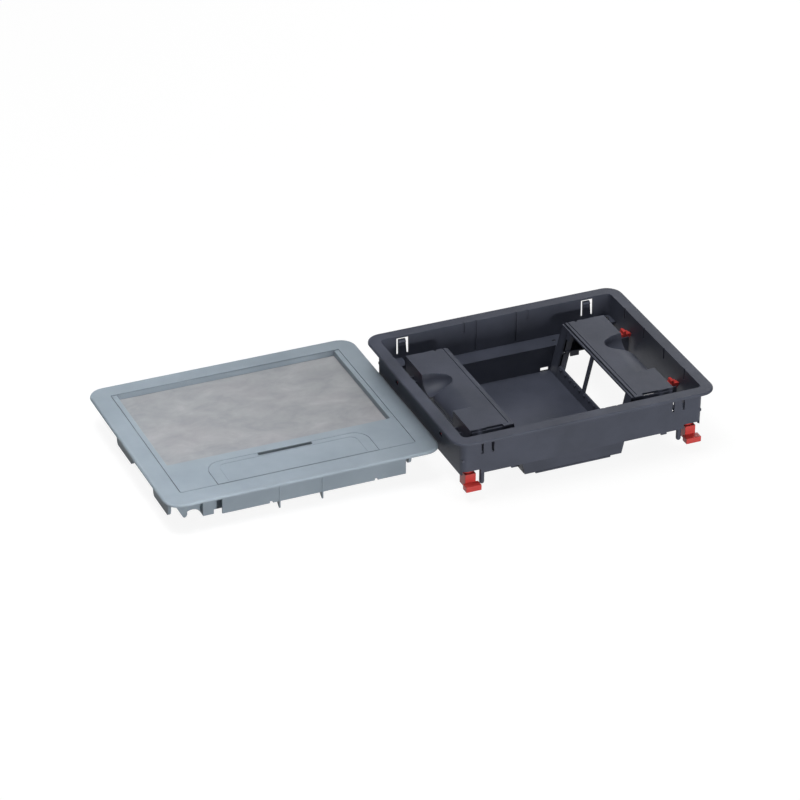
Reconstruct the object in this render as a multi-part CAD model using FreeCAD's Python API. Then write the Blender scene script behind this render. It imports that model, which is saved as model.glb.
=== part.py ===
import FreeCAD, Part
import math
import os

os.makedirs("parts", exist_ok=True)

V = FreeCAD.Vector
X_AXIS = V(1, 0, 0)
Y_AXIS = V(0, 1, 0)
Z_AXIS = V(0, 0, 1)

# Frame: z = 0 is the underside of the box flange, the plane of the floor it hangs in.
# The box is centred on x = 0, y = 0, and its cover stands beside it towards -x.

# Clearances
seat_gap = 0.1
moving_gap = 0.35
running_gap = 0.05

# Box body
box_length = 300.0
box_width = 249.0
box_corner = 17.7
flange_thickness = 3.0
flange_edge_round = 1.2
side_border = 13.5
front_border = 14.1
wall_thickness = 2.4
wall_depth = 43.0
wall_taper = 0.6
inner_corner = 5.0
corner_steps = 5

# Spring tongues in the front and back walls, which catch the cover
tongue_slot_width = 14.0
tongue_slot_leg = 2.0
tongue_slot_top = 1.0
tongue_slot_bottom = 19.5
tongue_inset = 27.0
tongue_hook = 1.6

# Guide grooves in the walls
groove_width = 2.4
groove_depth = 0.9
short_groove_depth = 10.0
long_groove_depth = 31.0
back_short_grooves = (-37.8, 37.8)
back_long_grooves = (-23.8, 23.8)
side_grooves = (-71.0, -23.0, 25.0, 72.0)

# Tray
total_depth = 73.0
ledge_depth = 34.5
ledge_thickness = 2.2
ledge_post_gap = 0.5
ledge_seat_reach = 18.0
seat_web_inset = 35.3
seat_web_height = 4.8
ledge_width = 22.4
tray_wall = 2.2
floor_depth = 64.0
tray_foot_inset = 10.1
tray_foot_step = 2.0
drain_slot_inset = 4.1
drain_slot_length = 10.0
drain_slot_height = 4.5
ledge_screw_inset = 52.3
ledge_screw_reach = 10.5
ledge_screw_radius = 2.0

# Device frames: inclined faces that hold wiring modules of 22.5 mm by 45 mm
module_pitch = 22.5
front_modules = 3
back_modules = 2
module_margin = 6.1
module_height = 43.0
face_foot_reach = 63.7
face_lean = 0.225
face_thickness = 2.4
divider_width = 5.1
jamb_depth = 9.5
support_pit_gap = 2.2
support_side_gap = 19.2
support_wall = 2.2
support_skirt_depth = 36.0
seat_rail_drop = 1.5
latch_tooth_pitch = 11.25
latch_tooth_width = 4.0
latch_tooth_depth = 2.0

# Covers over the wiring chambers
top_cover_drop = 10.0
top_cover_reach = 46.8
top_cover_inset = 0.8
top_cover_thickness = 2.5
channel_run = 24.3
channel_drop = 13.0
channel_front = -40.0
pad_start = 21.5
grip_radius = 16.5
grip_run = 9.5
cover_notch_start = 10.0
cover_notch_length = 18.5
cover_notch_depth = 0.9
cover_tongue = 3.3

# Locks that hold each support to the side wall
lock_inset = 28.1
lock_width = 8.6
lock_height = 6.0
lock_top_drop = 20.5
lock_length = 12.5
lock_nose = 1.6
lock_nose_width = 6.0
lock_nose_height = 3.6
lock_thumb_height = 4.0
lock_thumb_length = 4.0
lock_thumb_setback = 2.0
lock_rail_wall = 1.6
lock_rail_height = 3.0

# Corner clamps
clamp_inset_x = 9.7
clamp_inset_y = 10.6
screw_radius = 2.5
screw_head_radius = 4.5
screw_head_height = 3.0
screw_recess_width = 1.2
screw_recess_depth = 1.6
screw_length = 32.0
shelf_top = 23.5
shelf_thickness = 3.0
shelf_reach_x = 26.0
shelf_reach_y = 17.9
post_inset_x = 22.9
post_inset_y = 3.0
post_radius = 2.7
post_depth = 58.0
bush_radius = 3.9
bush_flange_radius = 5.2
bush_flange = 1.4
bush_height = 9.0
claw_half_width = 6.1
claw_back = 5.6
claw_front = 9.2
claw_foot_half = 8.7
claw_foot_reach = 18.3
claw_foot_overlap = 0.4
claw_foot_depth = 59.5
claw_foot_height = 6.4
claw_height = 16.0
claw_collar_height = 2.6
claw_notch_width = 20.0
claw_notch_height = 5.0
claw_edge_round = 0.8
lug_x = 94.0
lug_width = 7.0
lug_drop = 2.2

# Cover frame, set down beside the box
frame_length = 304.0
frame_width = 256.0
frame_corner = 18.3
frame_thickness = 3.0
frame_edge_round = 1.6
cover_height = 41.0
cover_back_shift = 59.0
lid_border_side = 22.0
lid_border_front = 24.0
lid_border_back = 20.5
lid_gap = 0.5
lid_corner = 2.5
frame_wall = 2.1
frame_wall_depth = 14.0
shelf_reach = 5.0
lid_shelf_drop = 10.6
lid_shelf_thickness = 2.0
shelf_back_inset = 9.5
skirt_border = 19.0
skirt_left = -87.0
skirt_right_inset = 12.5
skirt_depth = 33.0
skirt_wall = 2.0
fin_half_spacing = 23.8
fin_thickness = 1.6
fin_reach = 13.0
rib_proud = 0.7
skirt_slot_width = 3.4
skirt_slot_height = 2.4
skirt_slots = (-33.0, 84.0)
tab_inset = 16.0
tab_thickness = 3.5
tab_ranges = ((28.5, 77.0), (-81.0, -35.0))
tab_chamfer = 6.0
corner_block_width = 12.0
corner_block_setback = 3.0
corner_leg_inset = 16.5
corner_leg_width = 9.5
corner_arch_width = 19.0
corner_leg_depth = 26.0
corner_web_depth = 19.0
corner_depth = 12.0

# Lid panel
lid_height = 9.0
lid_plate = 3.0
lid_rib = 2.0
lid_rib_drop = 3.0
lid_hinge_radius = 2.5
recess_border_side = 5.5
recess_border_front = 55.0
recess_border_back = 1.5
recess_depth = 7.4
insert_thickness = 1.6
insert_gap = 0.3
hinge_pin_radius = 1.5
hinge_pin_length = 10.0
hinge_pin_inset = 4.5
seal_height = 1.2
seal_width = 3.6

# Cable flap
flap_half_length = 89.0
flap_reach = 42.5
flap_front_gap = 0.4
flap_corner = 17.0
flap_axis_inset = 2.5
flap_axis_drop = 1.7
flap_thickness = 3.0
flap_gap = 0.5
flap_line_half = 77.0
flap_line_reach = 36.0
flap_line_width = 0.7
flap_line_depth = 0.4
flap_line_corner = 8.0
finger_half = 30.0
finger_depth = 4.8
trunnion_radius = 0.8
trunnion_length = 2.6
foam_half_length = 78.0
foam_width = 9.0
foam_height = 5.0
foam_inset = 7.0

# Places worked out from the sizes above
inner_x = box_length / 2 - side_border
inner_y = box_width / 2 - front_border
outer_x = inner_x + wall_thickness
outer_y = inner_y + wall_thickness
pit_half = inner_y - ledge_width
tongue_x = inner_x - tongue_inset
clamp_x = inner_x - clamp_inset_x
clamp_y = inner_y - clamp_inset_y
post_x = inner_x - post_inset_x
post_y = inner_y - post_inset_y
ledge_half_length = post_x - post_radius - ledge_post_gap
ledge_screw_y = pit_half + ledge_screw_reach
lock_rear = inner_x - lock_length
support_outer = inner_x - support_side_gap
support_half_width = pit_half - support_pit_gap
lock_y = support_half_width - lock_inset
face_foot_half = support_outer - face_foot_reach
tray_foot_half = face_foot_half - tray_foot_inset
drain_slot_x = face_foot_half - drain_slot_inset
ledge_screw_x = support_outer - ledge_screw_inset
seat_web_end = support_outer - seat_web_inset
top_cover_outer = support_outer
top_cover_inner = top_cover_outer - top_cover_reach
top_cover_half = support_half_width - top_cover_inset
channel_start = top_cover_outer - channel_run
cover_notch_near = top_cover_inner + cover_notch_start
cover_notch_far = cover_notch_near + cover_notch_length
opening_half = ((front_modules + back_modules) * module_pitch + 4 * module_margin + divider_width) / 2
divider_front = -opening_half + front_modules * module_pitch + 2 * module_margin
top_cover_top = flange_thickness - top_cover_drop
top_cover_under = top_cover_top - top_cover_thickness
sill = -total_depth + 21.5
cover_x = -(outer_x + lid_gap + frame_length / 2)
cover_y = cover_back_shift
lid_half_length = frame_length / 2 - lid_border_side
lid_front = frame_width / 2 - lid_border_front
lid_back = frame_width / 2 - lid_border_back
skirt_half_width = frame_width / 2 - skirt_border
skirt_right = lid_half_length - skirt_right_inset
tab_outer = frame_length / 2 - tab_inset
tab_inner = tab_outer - tab_thickness
corner_leg_left = -frame_length / 2 + corner_leg_inset
corner_leg_right = corner_leg_left + corner_leg_width
corner_block_left = corner_leg_right + corner_arch_width
corner_block_right = corner_block_left + corner_block_width
shelf_back_end = lid_back - shelf_back_inset
recess_half_length = lid_half_length - recess_border_side
recess_front = -lid_front + recess_border_front
recess_back = lid_back - recess_border_back
flap_front = -lid_front + flap_front_gap
flap_back = -lid_front + flap_reach
flap_axis_y = -lid_front + flap_axis_inset
flap_line_back = -lid_front + flap_line_reach
foam_front = -lid_front + foam_inset
cover_top = -total_depth + cover_height
clamp_seat = -shelf_top
claw_top = -claw_foot_depth + claw_height


def save(name, shape):
    shape.exportStep("parts/" + name + ".step")


def block(x0, x1, y0, y1, z0, z1):
    return Part.makeBox(x1 - x0, y1 - y0, z1 - z0, V(x0, y0, z0))


def rounded_wire(x0, x1, y0, y1, r, z):
    k = r * (1 - math.sqrt(0.5))
    corners = [
        (V(x0 + r, y0, z), V(x1 - r, y0, z), V(x1 - k, y0 + k, z), V(x1, y0 + r, z)),
        (V(x1, y0 + r, z), V(x1, y1 - r, z), V(x1 - k, y1 - k, z), V(x1 - r, y1, z)),
        (V(x1 - r, y1, z), V(x0 + r, y1, z), V(x0 + k, y1 - k, z), V(x0, y1 - r, z)),
        (V(x0, y1 - r, z), V(x0, y0 + r, z), V(x0 + k, y0 + k, z), V(x0 + r, y0, z)),
    ]
    edges = []
    for start, end, middle, turn in corners:
        edges.append(Part.LineSegment(start, end).toShape())
        edges.append(Part.Arc(end, middle, turn).toShape())
    return Part.Wire(edges)


def rounded_slab(x0, x1, y0, y1, r, z0, z1):
    face = Part.Face(rounded_wire(x0, x1, y0, y1, r, z0))
    return face.extrude(V(0, 0, z1 - z0))


def facet_outline(half_x, half_y, r, z):
    """Rectangle whose corners are rounded by short straight steps."""
    points = []
    for sx, sy, start in ((1, 1, 0), (-1, 1, 90), (-1, -1, 180), (1, -1, 270)):
        for i in range(corner_steps + 1):
            angle = math.radians(start + 90 * i / corner_steps)
            points.append(V(sx * (half_x - r) + r * math.cos(angle), sy * (half_y - r) + r * math.sin(angle), z))
    return Part.makePolygon(points + [points[0]])


def tapered_slab(half_x, half_y, r, z0, z1, shrink):
    lower = facet_outline(half_x - shrink, half_y - shrink, r, z0)
    upper = facet_outline(half_x, half_y, r, z1)
    return Part.makeLoft([lower, upper], True, True)


def prism(points, axis, length):
    wire = Part.makePolygon(points + [points[0]])
    return Part.Face(wire).extrude(axis * length)


def rod(x, y, z, radius, length, axis=Z_AXIS):
    return Part.makeCylinder(radius, length, V(x, y, z), axis)


def fuse(shapes):
    whole = shapes[0].multiFuse(shapes[1:])
    return whole.removeSplitter()


def mirrored_x(shape):
    return shape.mirror(V(0, 0, 0), X_AXIS)


def half_turn(shape):
    turned = shape.copy()
    turned.rotate(V(0, 0, 0), Z_AXIS, 180)
    return turned


def face_x(z):
    """Half distance between the two device faces at a height."""
    return face_foot_half + face_lean * (z + total_depth)


def edges_at_height(shape, z):
    return [e for e in shape.Edges if abs(e.BoundBox.ZMin - z) < 0.01 and abs(e.BoundBox.ZMax - z) < 0.01]


# Box body

def tongue_slot(x, side):
    """U-shaped slot that frees a spring tongue with a hook at its top."""
    y0 = side * (inner_y - 2 * wall_thickness)
    y1 = side * (outer_y + wall_thickness)
    low, high = min(y0, y1), max(y0, y1)
    left = x - tongue_slot_width / 2
    right = x + tongue_slot_width / 2
    top = -tongue_slot_top + flange_thickness / 2
    legs = block(left, left + tongue_slot_leg, low, high, -tongue_slot_bottom, top)
    legs = legs.fuse(block(right - tongue_slot_leg, right, low, high, -tongue_slot_bottom, top))
    return legs.fuse(block(left, right, low, high, top - tongue_slot_leg, top))


def tongue_hook_shape(x, side):
    top = -tongue_slot_top + flange_thickness / 2 - tongue_slot_leg
    wall = side * inner_y
    tip = side * (inner_y - tongue_hook)
    half = tongue_slot_width / 2 - tongue_slot_leg
    points = [V(x - half, wall, top), V(x - half, tip, top - tongue_hook), V(x - half, wall, top - 3 * tongue_hook)]
    return prism(points, X_AXIS, 2 * half)


def wall_groove(x0, x1, y0, y1, depth):
    return block(x0, x1, y0, y1, flange_thickness - short_groove_depth / 4 - depth, flange_thickness + 1)


def clamp_corner(sx, sy):
    """Shelf with the screw hole, the guide post and their web in one corner."""
    x0, x1 = sorted((sx * (inner_x - shelf_reach_x), sx * (inner_x + wall_thickness / 2)))
    y0, y1 = sorted((sy * (inner_y - shelf_reach_y), sy * (inner_y + wall_thickness / 2)))
    shelf = block(x0, x1, y0, y1, -shelf_top - shelf_thickness, -shelf_top)
    post = rod(sx * post_x, sy * post_y, -post_depth, post_radius, post_depth - shelf_top)
    return shelf.fuse(post)


def make_box_body():
    flange = rounded_slab(-box_length / 2, box_length / 2, -box_width / 2, box_width / 2,
                          box_corner, 0, flange_thickness)
    flange = flange.makeChamfer(flange_edge_round, edges_at_height(flange, flange_thickness))
    walls = tapered_slab(outer_x, outer_y, inner_corner + wall_thickness, -wall_depth, flange_thickness / 2, wall_taper)
    body = flange.fuse(walls)
    body = body.cut(tapered_slab(inner_x, inner_y, inner_corner, -wall_depth - 1, flange_thickness + 1, wall_taper))
    added = []
    for sx in (-1, 1):
        for sy in (-1, 1):
            added.append(clamp_corner(sx, sy))
    for sy in (-1, 1):
        for x in (-ledge_screw_x / 2, ledge_screw_x / 2):
            reach = sorted((sy * (pit_half + tray_wall + 1.8), sy * (inner_y + wall_thickness / 2)))
            top = -ledge_depth - ledge_thickness
            added.append(prism([V(x - 1, reach[0], top), V(x - 1, reach[1], top),
                                V(x - 1, sy * (inner_y + wall_thickness / 2), -wall_depth + 1)], X_AXIS, 2))
    body = fuse([body] + added)
    cuts = []
    for side in (-1, 1):
        for x in (-tongue_x, tongue_x):
            cuts.append(tongue_slot(x, side))
        for x in back_short_grooves + back_long_grooves:
            depth = long_groove_depth if x in back_long_grooves else short_groove_depth
            low, high = sorted((side * (inner_y - 1), side * (inner_y + groove_depth)))
            cuts.append(wall_groove(x - groove_width / 2, x + groove_width / 2, low, high, depth))
        for y in side_grooves:
            low, high = sorted((side * (inner_x - 1), side * (inner_x + groove_depth)))
            cuts.append(wall_groove(low, high, y - groove_width / 2, y + groove_width / 2, short_groove_depth))
        for sy in (-1, 1):
            y0, y1 = sorted((sy * (inner_y - wall_thickness), sy * (outer_y + wall_thickness)))
            x = side * clamp_x
            cuts.append(block(x - claw_notch_width / 2, x + claw_notch_width / 2, y0, y1,
                              -wall_depth - 1, -wall_depth + claw_notch_height))
            cuts.append(rod(x, sy * clamp_y, -shelf_top - 2 * shelf_thickness,
                            screw_radius + 2 * running_gap, 4 * shelf_thickness))
            wall0, wall1 = sorted((side * (inner_x - wall_thickness), side * (outer_x + wall_thickness)))
            middle = flange_thickness - lock_top_drop - lock_height / 2
            cuts.append(block(wall0, wall1, sy * lock_y - lock_nose_width / 2 - moving_gap,
                              sy * lock_y + lock_nose_width / 2 + moving_gap,
                              middle - lock_nose_height / 2 - moving_gap,
                              middle + lock_nose_height / 2 + moving_gap))
    body = body.cut(Part.makeCompound(cuts))
    hooks = []
    for side in (-1, 1):
        for x in (-tongue_x, tongue_x):
            hooks.append(tongue_hook_shape(x, side))
    wall_foot = outer_y - wall_taper - wall_thickness
    lug = block(lug_x - lug_width / 2, lug_x + lug_width / 2, -wall_foot - wall_thickness + 0.3, -wall_foot,
                -wall_depth - lug_drop, -wall_depth + 1)
    return fuse([body, lug, half_turn(lug)] + hooks)


# Pit tray

def lean_prism(inset, y0, y1, z0, z1):
    """Solid between the two inclined device faces, drawn in by an inset."""
    bottom = face_x(z0) - inset
    top = face_x(z1) - inset
    points = [V(-bottom, y0, z0), V(bottom, y0, z0), V(top, y0, z1), V(-top, y0, z1)]
    return prism(points, Y_AXIS, y1 - y0)


def make_pit_tray():
    inset = seat_gap
    outer_half = pit_half + tray_wall
    ledge_top = -ledge_depth
    ledge_under = ledge_top - ledge_thickness
    floor_top = -floor_depth
    foot_top = -total_depth + tray_foot_step
    pieces = []
    wall_line = inner_y - wall_taper - seat_gap
    for sy in (-1, 1):
        y0, y1 = sorted((sy * pit_half, sy * wall_line))
        pieces.append(block(-ledge_half_length, ledge_half_length, y0, y1, ledge_under, ledge_top))
        for sx in (-1, 1):
            x0, x1 = sorted((sx * (face_x(ledge_top) + face_thickness + 1), sx * ledge_half_length))
            s0, s1 = sorted((sy * (pit_half - ledge_seat_reach), sy * pit_half))
            pieces.append(block(x0, x1, s0, s1, ledge_under, ledge_top))
            x0, x1 = sorted((sx * (face_x(ledge_under) + jamb_depth + moving_gap), sx * seat_web_end))
            s0, s1 = sorted((sy * (pit_half - ledge_seat_reach), sy * (pit_half - ledge_seat_reach + tray_wall)))
            pieces.append(block(x0, x1, s0, s1, ledge_under - seat_web_height, ledge_under + 1))
        w0, w1 = sorted((sy * pit_half, sy * outer_half))
        pieces.append(lean_prism(inset, w0, w1, foot_top, ledge_top))
    pieces.append(lean_prism(inset, -pit_half, pit_half, floor_top - tray_wall, floor_top))
    for sy in (-1, 1):
        w0, w1 = sorted((sy * pit_half, sy * outer_half))
        pieces.append(block(-tray_foot_half, tray_foot_half, w0, w1, -total_depth, foot_top))
    for x in (-tray_foot_half / 2, tray_foot_half / 2):
        pieces.append(block(x - tray_wall / 2, x + tray_wall / 2, -pit_half, pit_half,
                            foot_top, floor_top - tray_wall))
    pieces.append(block(-tray_foot_half, tray_foot_half, -tray_wall / 2, tray_wall / 2,
                        foot_top, floor_top - tray_wall))
    tray = fuse(pieces)
    cuts = [block(drain_slot_x - drain_slot_length / 2, drain_slot_x + drain_slot_length / 2,
                  pit_half - 1, outer_half + 1, floor_top, floor_top + drain_slot_height)]
    for sx in (-1, 1):
        for sy in (-1, 1):
            cuts.append(rod(sx * ledge_screw_x, sy * ledge_screw_y, ledge_under - 1,
                            ledge_screw_radius, ledge_thickness + 2))
    return tray.cut(Part.makeCompound(cuts))


# Device frames

def face_slab(y0, y1, z0, z1, depth, lead=0.0):
    """Plate parallel to the inclined right-hand face, behind it by its depth."""
    points = [V(face_x(z0) - lead, y0, z0), V(face_x(z0) + depth, y0, z0),
              V(face_x(z1) + depth, y0, z1), V(face_x(z1) - lead, y0, z1)]
    return prism(points, Y_AXIS, y1 - y0)


def make_device_frame():
    top = top_cover_under - moving_gap
    foot = -total_depth + tray_foot_step
    opening_top = sill + module_height * math.cos(math.atan(face_lean))
    plate = face_slab(-support_half_width, support_half_width, foot, top, face_thickness)
    plate = plate.fuse(face_slab(-pit_half + seat_gap, pit_half - seat_gap, foot, -ledge_depth, face_thickness))
    plate = plate.cut(face_slab(-opening_half, opening_half, sill, opening_top, 4 * face_thickness, face_thickness))
    pieces = [plate, face_slab(divider_front, divider_front + divider_width, sill - 1, opening_top + 1, face_thickness)]
    rail_x = face_x(top)
    pieces.append(block(rail_x, top_cover_inner - moving_gap, -support_half_width, support_half_width,
                        top - 1, top_cover_top - seat_rail_drop))
    ledge = -ledge_depth + seat_gap
    for sy in (-1, 1):
        j0, j1 = sorted((sy * opening_half, sy * (opening_half + support_wall)))
        pieces.append(face_slab(j0, j1, foot, ledge, jamb_depth).cut(
            block(0, support_outer, -pit_half, pit_half, -ledge_depth - ledge_thickness - seat_gap, 0)))
        pieces.append(face_slab(j0, j1, ledge, top, jamb_depth))
        e0, e1 = sorted((sy * (support_half_width - support_wall), sy * support_half_width))
        pieces.append(prism([V(face_x(ledge), e0, ledge), V(support_outer, e0, ledge),
                             V(support_outer, e0, top), V(face_x(top), e0, top)], Y_AXIS, e1 - e0))
    skirt = block(support_outer - support_wall, support_outer, -support_half_width, support_half_width,
                  -support_skirt_depth, top)
    skirt = skirt.cut(block(0, support_outer + 1, -pit_half - 1, -pit_half + ledge_seat_reach + 1,
                            -support_skirt_depth - 1, ledge))
    skirt = skirt.cut(block(0, support_outer + 1, pit_half - ledge_seat_reach - 1, pit_half + 1,
                            -support_skirt_depth - 1, ledge))
    bowl_reach = grip_radius + top_cover_thickness + moving_gap
    skirt = skirt.cut(block(0, support_outer + 1, channel_front - top_cover_thickness - moving_gap, pad_start,
                            top_cover_top - channel_drop - top_cover_thickness - moving_gap, 1))
    skirt = skirt.cut(block(0, support_outer + 1, pad_start - bowl_reach, pad_start + bowl_reach,
                            top_cover_top - bowl_reach, 1))
    pieces.append(skirt)
    teeth = int((2 * opening_half) // latch_tooth_pitch)
    for i in range(teeth):
        y = -opening_half + (i + 0.5) * 2 * opening_half / teeth
        pieces.append(face_slab(y - latch_tooth_width / 2, y + latch_tooth_width / 2,
                                sill - latch_tooth_depth - 1, sill - 1, face_thickness, latch_tooth_depth / 2))
    guide_floor = flange_thickness - lock_top_drop - lock_height
    for sy in (-1, 1):
        pieces.append(lock_guide(sy * lock_y, guide_floor))
    return fuse(pieces)


def lock_guide(y, floor):
    half = lock_width / 2 + moving_gap
    end = inner_x - 4.0
    guide = block(support_outer - 1, end, y - half - lock_rail_wall, y + half + lock_rail_wall,
                  floor - lock_rail_wall - moving_gap, floor - moving_gap)
    for side in (-1, 1):
        low, high = sorted((y + side * half, y + side * (half + lock_rail_wall)))
        guide = guide.fuse(block(support_outer - 1, end, low, high, floor - moving_gap, floor + lock_rail_height))
    return guide


# Covers over the wiring chambers

def channel_profile(z_shift, low_end):
    """Flat strip that rolls down towards the side wall, as a closed outline."""
    start = V(channel_start, 0, top_cover_top + z_shift)
    end = V(top_cover_outer, 0, top_cover_top - channel_drop + z_shift)
    span = top_cover_outer - channel_start
    middle = V(channel_start + span * math.sin(math.pi / 4), 0,
               top_cover_top + z_shift - channel_drop * (1 - math.cos(math.pi / 4)))
    edges = [Part.LineSegment(V(top_cover_inner, 0, top_cover_top + z_shift), start).toShape(),
             Part.Arc(start, middle, end).toShape()]
    low = V(top_cover_outer, 0, low_end)
    inner_low = V(top_cover_inner, 0, low_end)
    edges.append(Part.LineSegment(end, low).toShape())
    edges.append(Part.LineSegment(low, inner_low).toShape())
    edges.append(Part.LineSegment(inner_low, V(top_cover_inner, 0, top_cover_top + z_shift)).toShape())
    return Part.Face(Part.Wire(edges))


def channel_block(y0, y1, z_shift, low_end):
    face = channel_profile(z_shift, low_end)
    face.translate(V(0, y0, 0))
    return face.extrude(V(0, y1 - y0, 0))


def grip_ball(growth):
    """Finger bowl: a round end run out to the side of the cover."""
    radius = grip_radius + growth
    centre = V(top_cover_outer - grip_run, pad_start, top_cover_top)
    return Part.makeSphere(radius, centre).fuse(Part.makeCylinder(radius, grip_run + growth, centre, X_AXIS))


def make_top_cover():
    low = top_cover_top - 2 * grip_radius
    back_end = top_cover_half
    pad_back = block(top_cover_inner, top_cover_outer, pad_start, back_end, top_cover_under, top_cover_top)
    pad_front = block(top_cover_inner, top_cover_outer, -back_end, channel_front, top_cover_under, top_cover_top)
    channel = channel_block(channel_front, pad_start, 0, low).cut(
        channel_block(channel_front - 1, pad_start + 1, -top_cover_thickness, low - 1))
    step = block(channel_start, top_cover_outer, channel_front - top_cover_thickness, channel_front,
                 top_cover_top - channel_drop - top_cover_thickness, top_cover_top)
    envelope = block(top_cover_inner, top_cover_outer, pad_start, back_end, low, top_cover_top).fuse(
        channel_block(channel_front, pad_start, 0, low))
    ball = grip_ball(0.0)
    bowl = grip_ball(top_cover_thickness).common(envelope).cut(ball)
    tongue = block(top_cover_inner, cover_notch_near, -back_end - cover_tongue, -back_end + 1,
                   top_cover_under, top_cover_top)
    cover = pad_back.fuse([pad_front, tongue, channel, step]).cut(ball).fuse(bowl)
    notches = []
    for sy in (-1, 1):
        y0, y1 = sorted((sy * (top_cover_half - cover_notch_depth), sy * (top_cover_half + 1)))
        notches.append(block(cover_notch_near, cover_notch_far, y0, y1, low, top_cover_top + 1))
    cover = cover.cut(Part.makeCompound(notches)).removeSplitter()
    line = block(top_cover_inner + 3.2, top_cover_inner + 4.0, -2 * top_cover_half, top_cover_half + 1,
                 top_cover_top - 0.6, top_cover_top + 1)
    return cover.cut(line)


# Support locks

def make_lock(y):
    top = flange_thickness - lock_top_drop
    nose_start = inner_x - 2.0
    middle = top - lock_height / 2
    body = block(lock_rear, nose_start, y - lock_width / 2, y + lock_width / 2, top - lock_height, top)
    nose = block(nose_start - 1, inner_x + lock_nose, y - lock_nose_width / 2, y + lock_nose_width / 2,
                 middle - lock_nose_height / 2, middle + lock_nose_height / 2)
    thumb_start = lock_rear + lock_thumb_setback
    thumb = block(thumb_start, thumb_start + lock_thumb_length, y - lock_width / 2, y + lock_width / 2,
                  top - 1, top + lock_thumb_height)
    thumb = thumb.makeFillet(lock_thumb_length / 2 - 0.1, edges_at_height(thumb, top + lock_thumb_height)[:1])
    return fuse([body, nose, thumb])


# Corner clamps, drawn for the front right corner

def make_clamp_screw():
    shank = rod(clamp_x, -clamp_y, clamp_seat - screw_length, screw_radius, screw_length + 1)
    head = rod(clamp_x, -clamp_y, clamp_seat + seat_gap, screw_head_radius, screw_head_height)
    top = clamp_seat + seat_gap + screw_head_height
    arm = screw_head_radius * 0.62
    half = screw_recess_width / 2
    cross = block(clamp_x - arm, clamp_x + arm, -clamp_y - half, -clamp_y + half, top - screw_recess_depth, top + 1)
    cross = cross.fuse(block(clamp_x - half, clamp_x + half, -clamp_y - arm, -clamp_y + arm,
                             top - screw_recess_depth, top + 1))
    return shank.fuse(head).cut(cross).removeSplitter()


bush_bottom = -claw_foot_depth + bush_flange + 2.0


def make_clamp_bush():
    sleeve = rod(clamp_x, -clamp_y, bush_bottom, bush_radius, bush_height)
    flange = rod(clamp_x, -clamp_y, bush_bottom, bush_flange_radius, bush_flange)
    hole = rod(clamp_x, -clamp_y, bush_bottom - 1, screw_radius + running_gap, bush_height + 2)
    return sleeve.fuse(flange).cut(hole).removeSplitter()


def make_claw():
    foot_low = -claw_foot_depth
    foot_high = foot_low + claw_foot_height
    body = block(clamp_x - claw_half_width, clamp_x + claw_half_width, -clamp_y - claw_front, -clamp_y + claw_back,
                 foot_low, claw_top)
    foot = block(clamp_x - claw_foot_half, clamp_x + claw_foot_half, -clamp_y - claw_foot_reach,
                 -clamp_y - claw_front + claw_foot_overlap, foot_low, foot_high)
    tip = [e for e in foot.Edges if e.BoundBox.YMax < -clamp_y - claw_foot_reach + 0.01]
    foot = foot.makeFillet(claw_edge_round, tip)
    collar = rod(clamp_x, -clamp_y, claw_top - 1, claw_half_width, claw_collar_height + 1)
    claw = fuse([body, foot, collar])
    sleeve_space = rod(clamp_x, -clamp_y, bush_bottom, bush_radius + running_gap, claw_height + 10)
    flange_space = rod(clamp_x, -clamp_y, foot_low - 1, bush_flange_radius + running_gap,
                       bush_bottom + bush_flange + running_gap - foot_low + 1)
    return claw.cut(sleeve_space).cut(flange_space)


def corner_copies(shape):
    """The front right shape carried to all four corners."""
    front_left = mirrored_x(shape)
    return {"front_right": shape, "front_left": front_left,
            "back_left": half_turn(shape), "back_right": half_turn(front_left)}


# Cover: every piece is drawn about the cover's own centre, with its top at height 0

def place_cover(shape):
    placed = shape.copy()
    placed.translate(V(cover_x, cover_y, cover_top))
    return placed


def lid_outline(grow, z0, z1):
    return rounded_slab(-lid_half_length - grow, lid_half_length + grow, -lid_front - grow, lid_back + grow,
                        lid_corner + grow, z0, z1)


def make_fin(x, side):
    y_face = side * skirt_half_width
    y_tip = side * (skirt_half_width - fin_reach)
    left = x - fin_thickness / 2
    points = [V(left, y_face, -skirt_depth + 1), V(left, y_tip, -skirt_depth + 1), V(left, y_tip, -skirt_depth),
              V(left, y_face - side * 1.5, -cover_height), V(left, y_face, -cover_height)]
    return prism(points, X_AXIS, fin_thickness)


def make_tab(sx, y0, y1):
    x0, x1 = sorted((sx * tab_inner, sx * tab_outer))
    points = [V(x0, y0, -frame_thickness + 1), V(x0, y1, -frame_thickness + 1),
              V(x0, y1, -cover_height + tab_chamfer), V(x0, y1 - tab_chamfer / 2, -cover_height),
              V(x0, y0 + tab_chamfer / 2, -cover_height), V(x0, y0, -cover_height + tab_chamfer)]
    return prism(points, X_AXIS, x1 - x0)


def make_corner_leg():
    """Set-back block, arched web and pointed leg at the front left corner of the skirt."""
    front = -skirt_half_width + corner_block_setback
    back = front + corner_depth
    block_part = block(corner_block_left, corner_block_right, front, back, -skirt_depth, -1)
    web = block(corner_leg_right - 1, corner_block_left + 1, front + corner_depth / 2, back, -corner_web_depth - 4, -1)
    radius = (corner_block_left - corner_leg_right) / 2
    arch = rod((corner_block_left + corner_leg_right) / 2, front, -corner_web_depth - radius,
               radius, 2 * corner_depth, Y_AXIS)
    web = web.cut(arch)
    leg = prism([V(corner_leg_left, front, -1), V(corner_leg_right, front, -1),
                 V(corner_leg_right, front, -corner_web_depth - 4), V(corner_leg_right - 3, front, -corner_leg_depth),
                 V(corner_leg_left, front, -corner_web_depth + 4)], Y_AXIS, corner_depth)
    return [block_part, web, leg]


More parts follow.
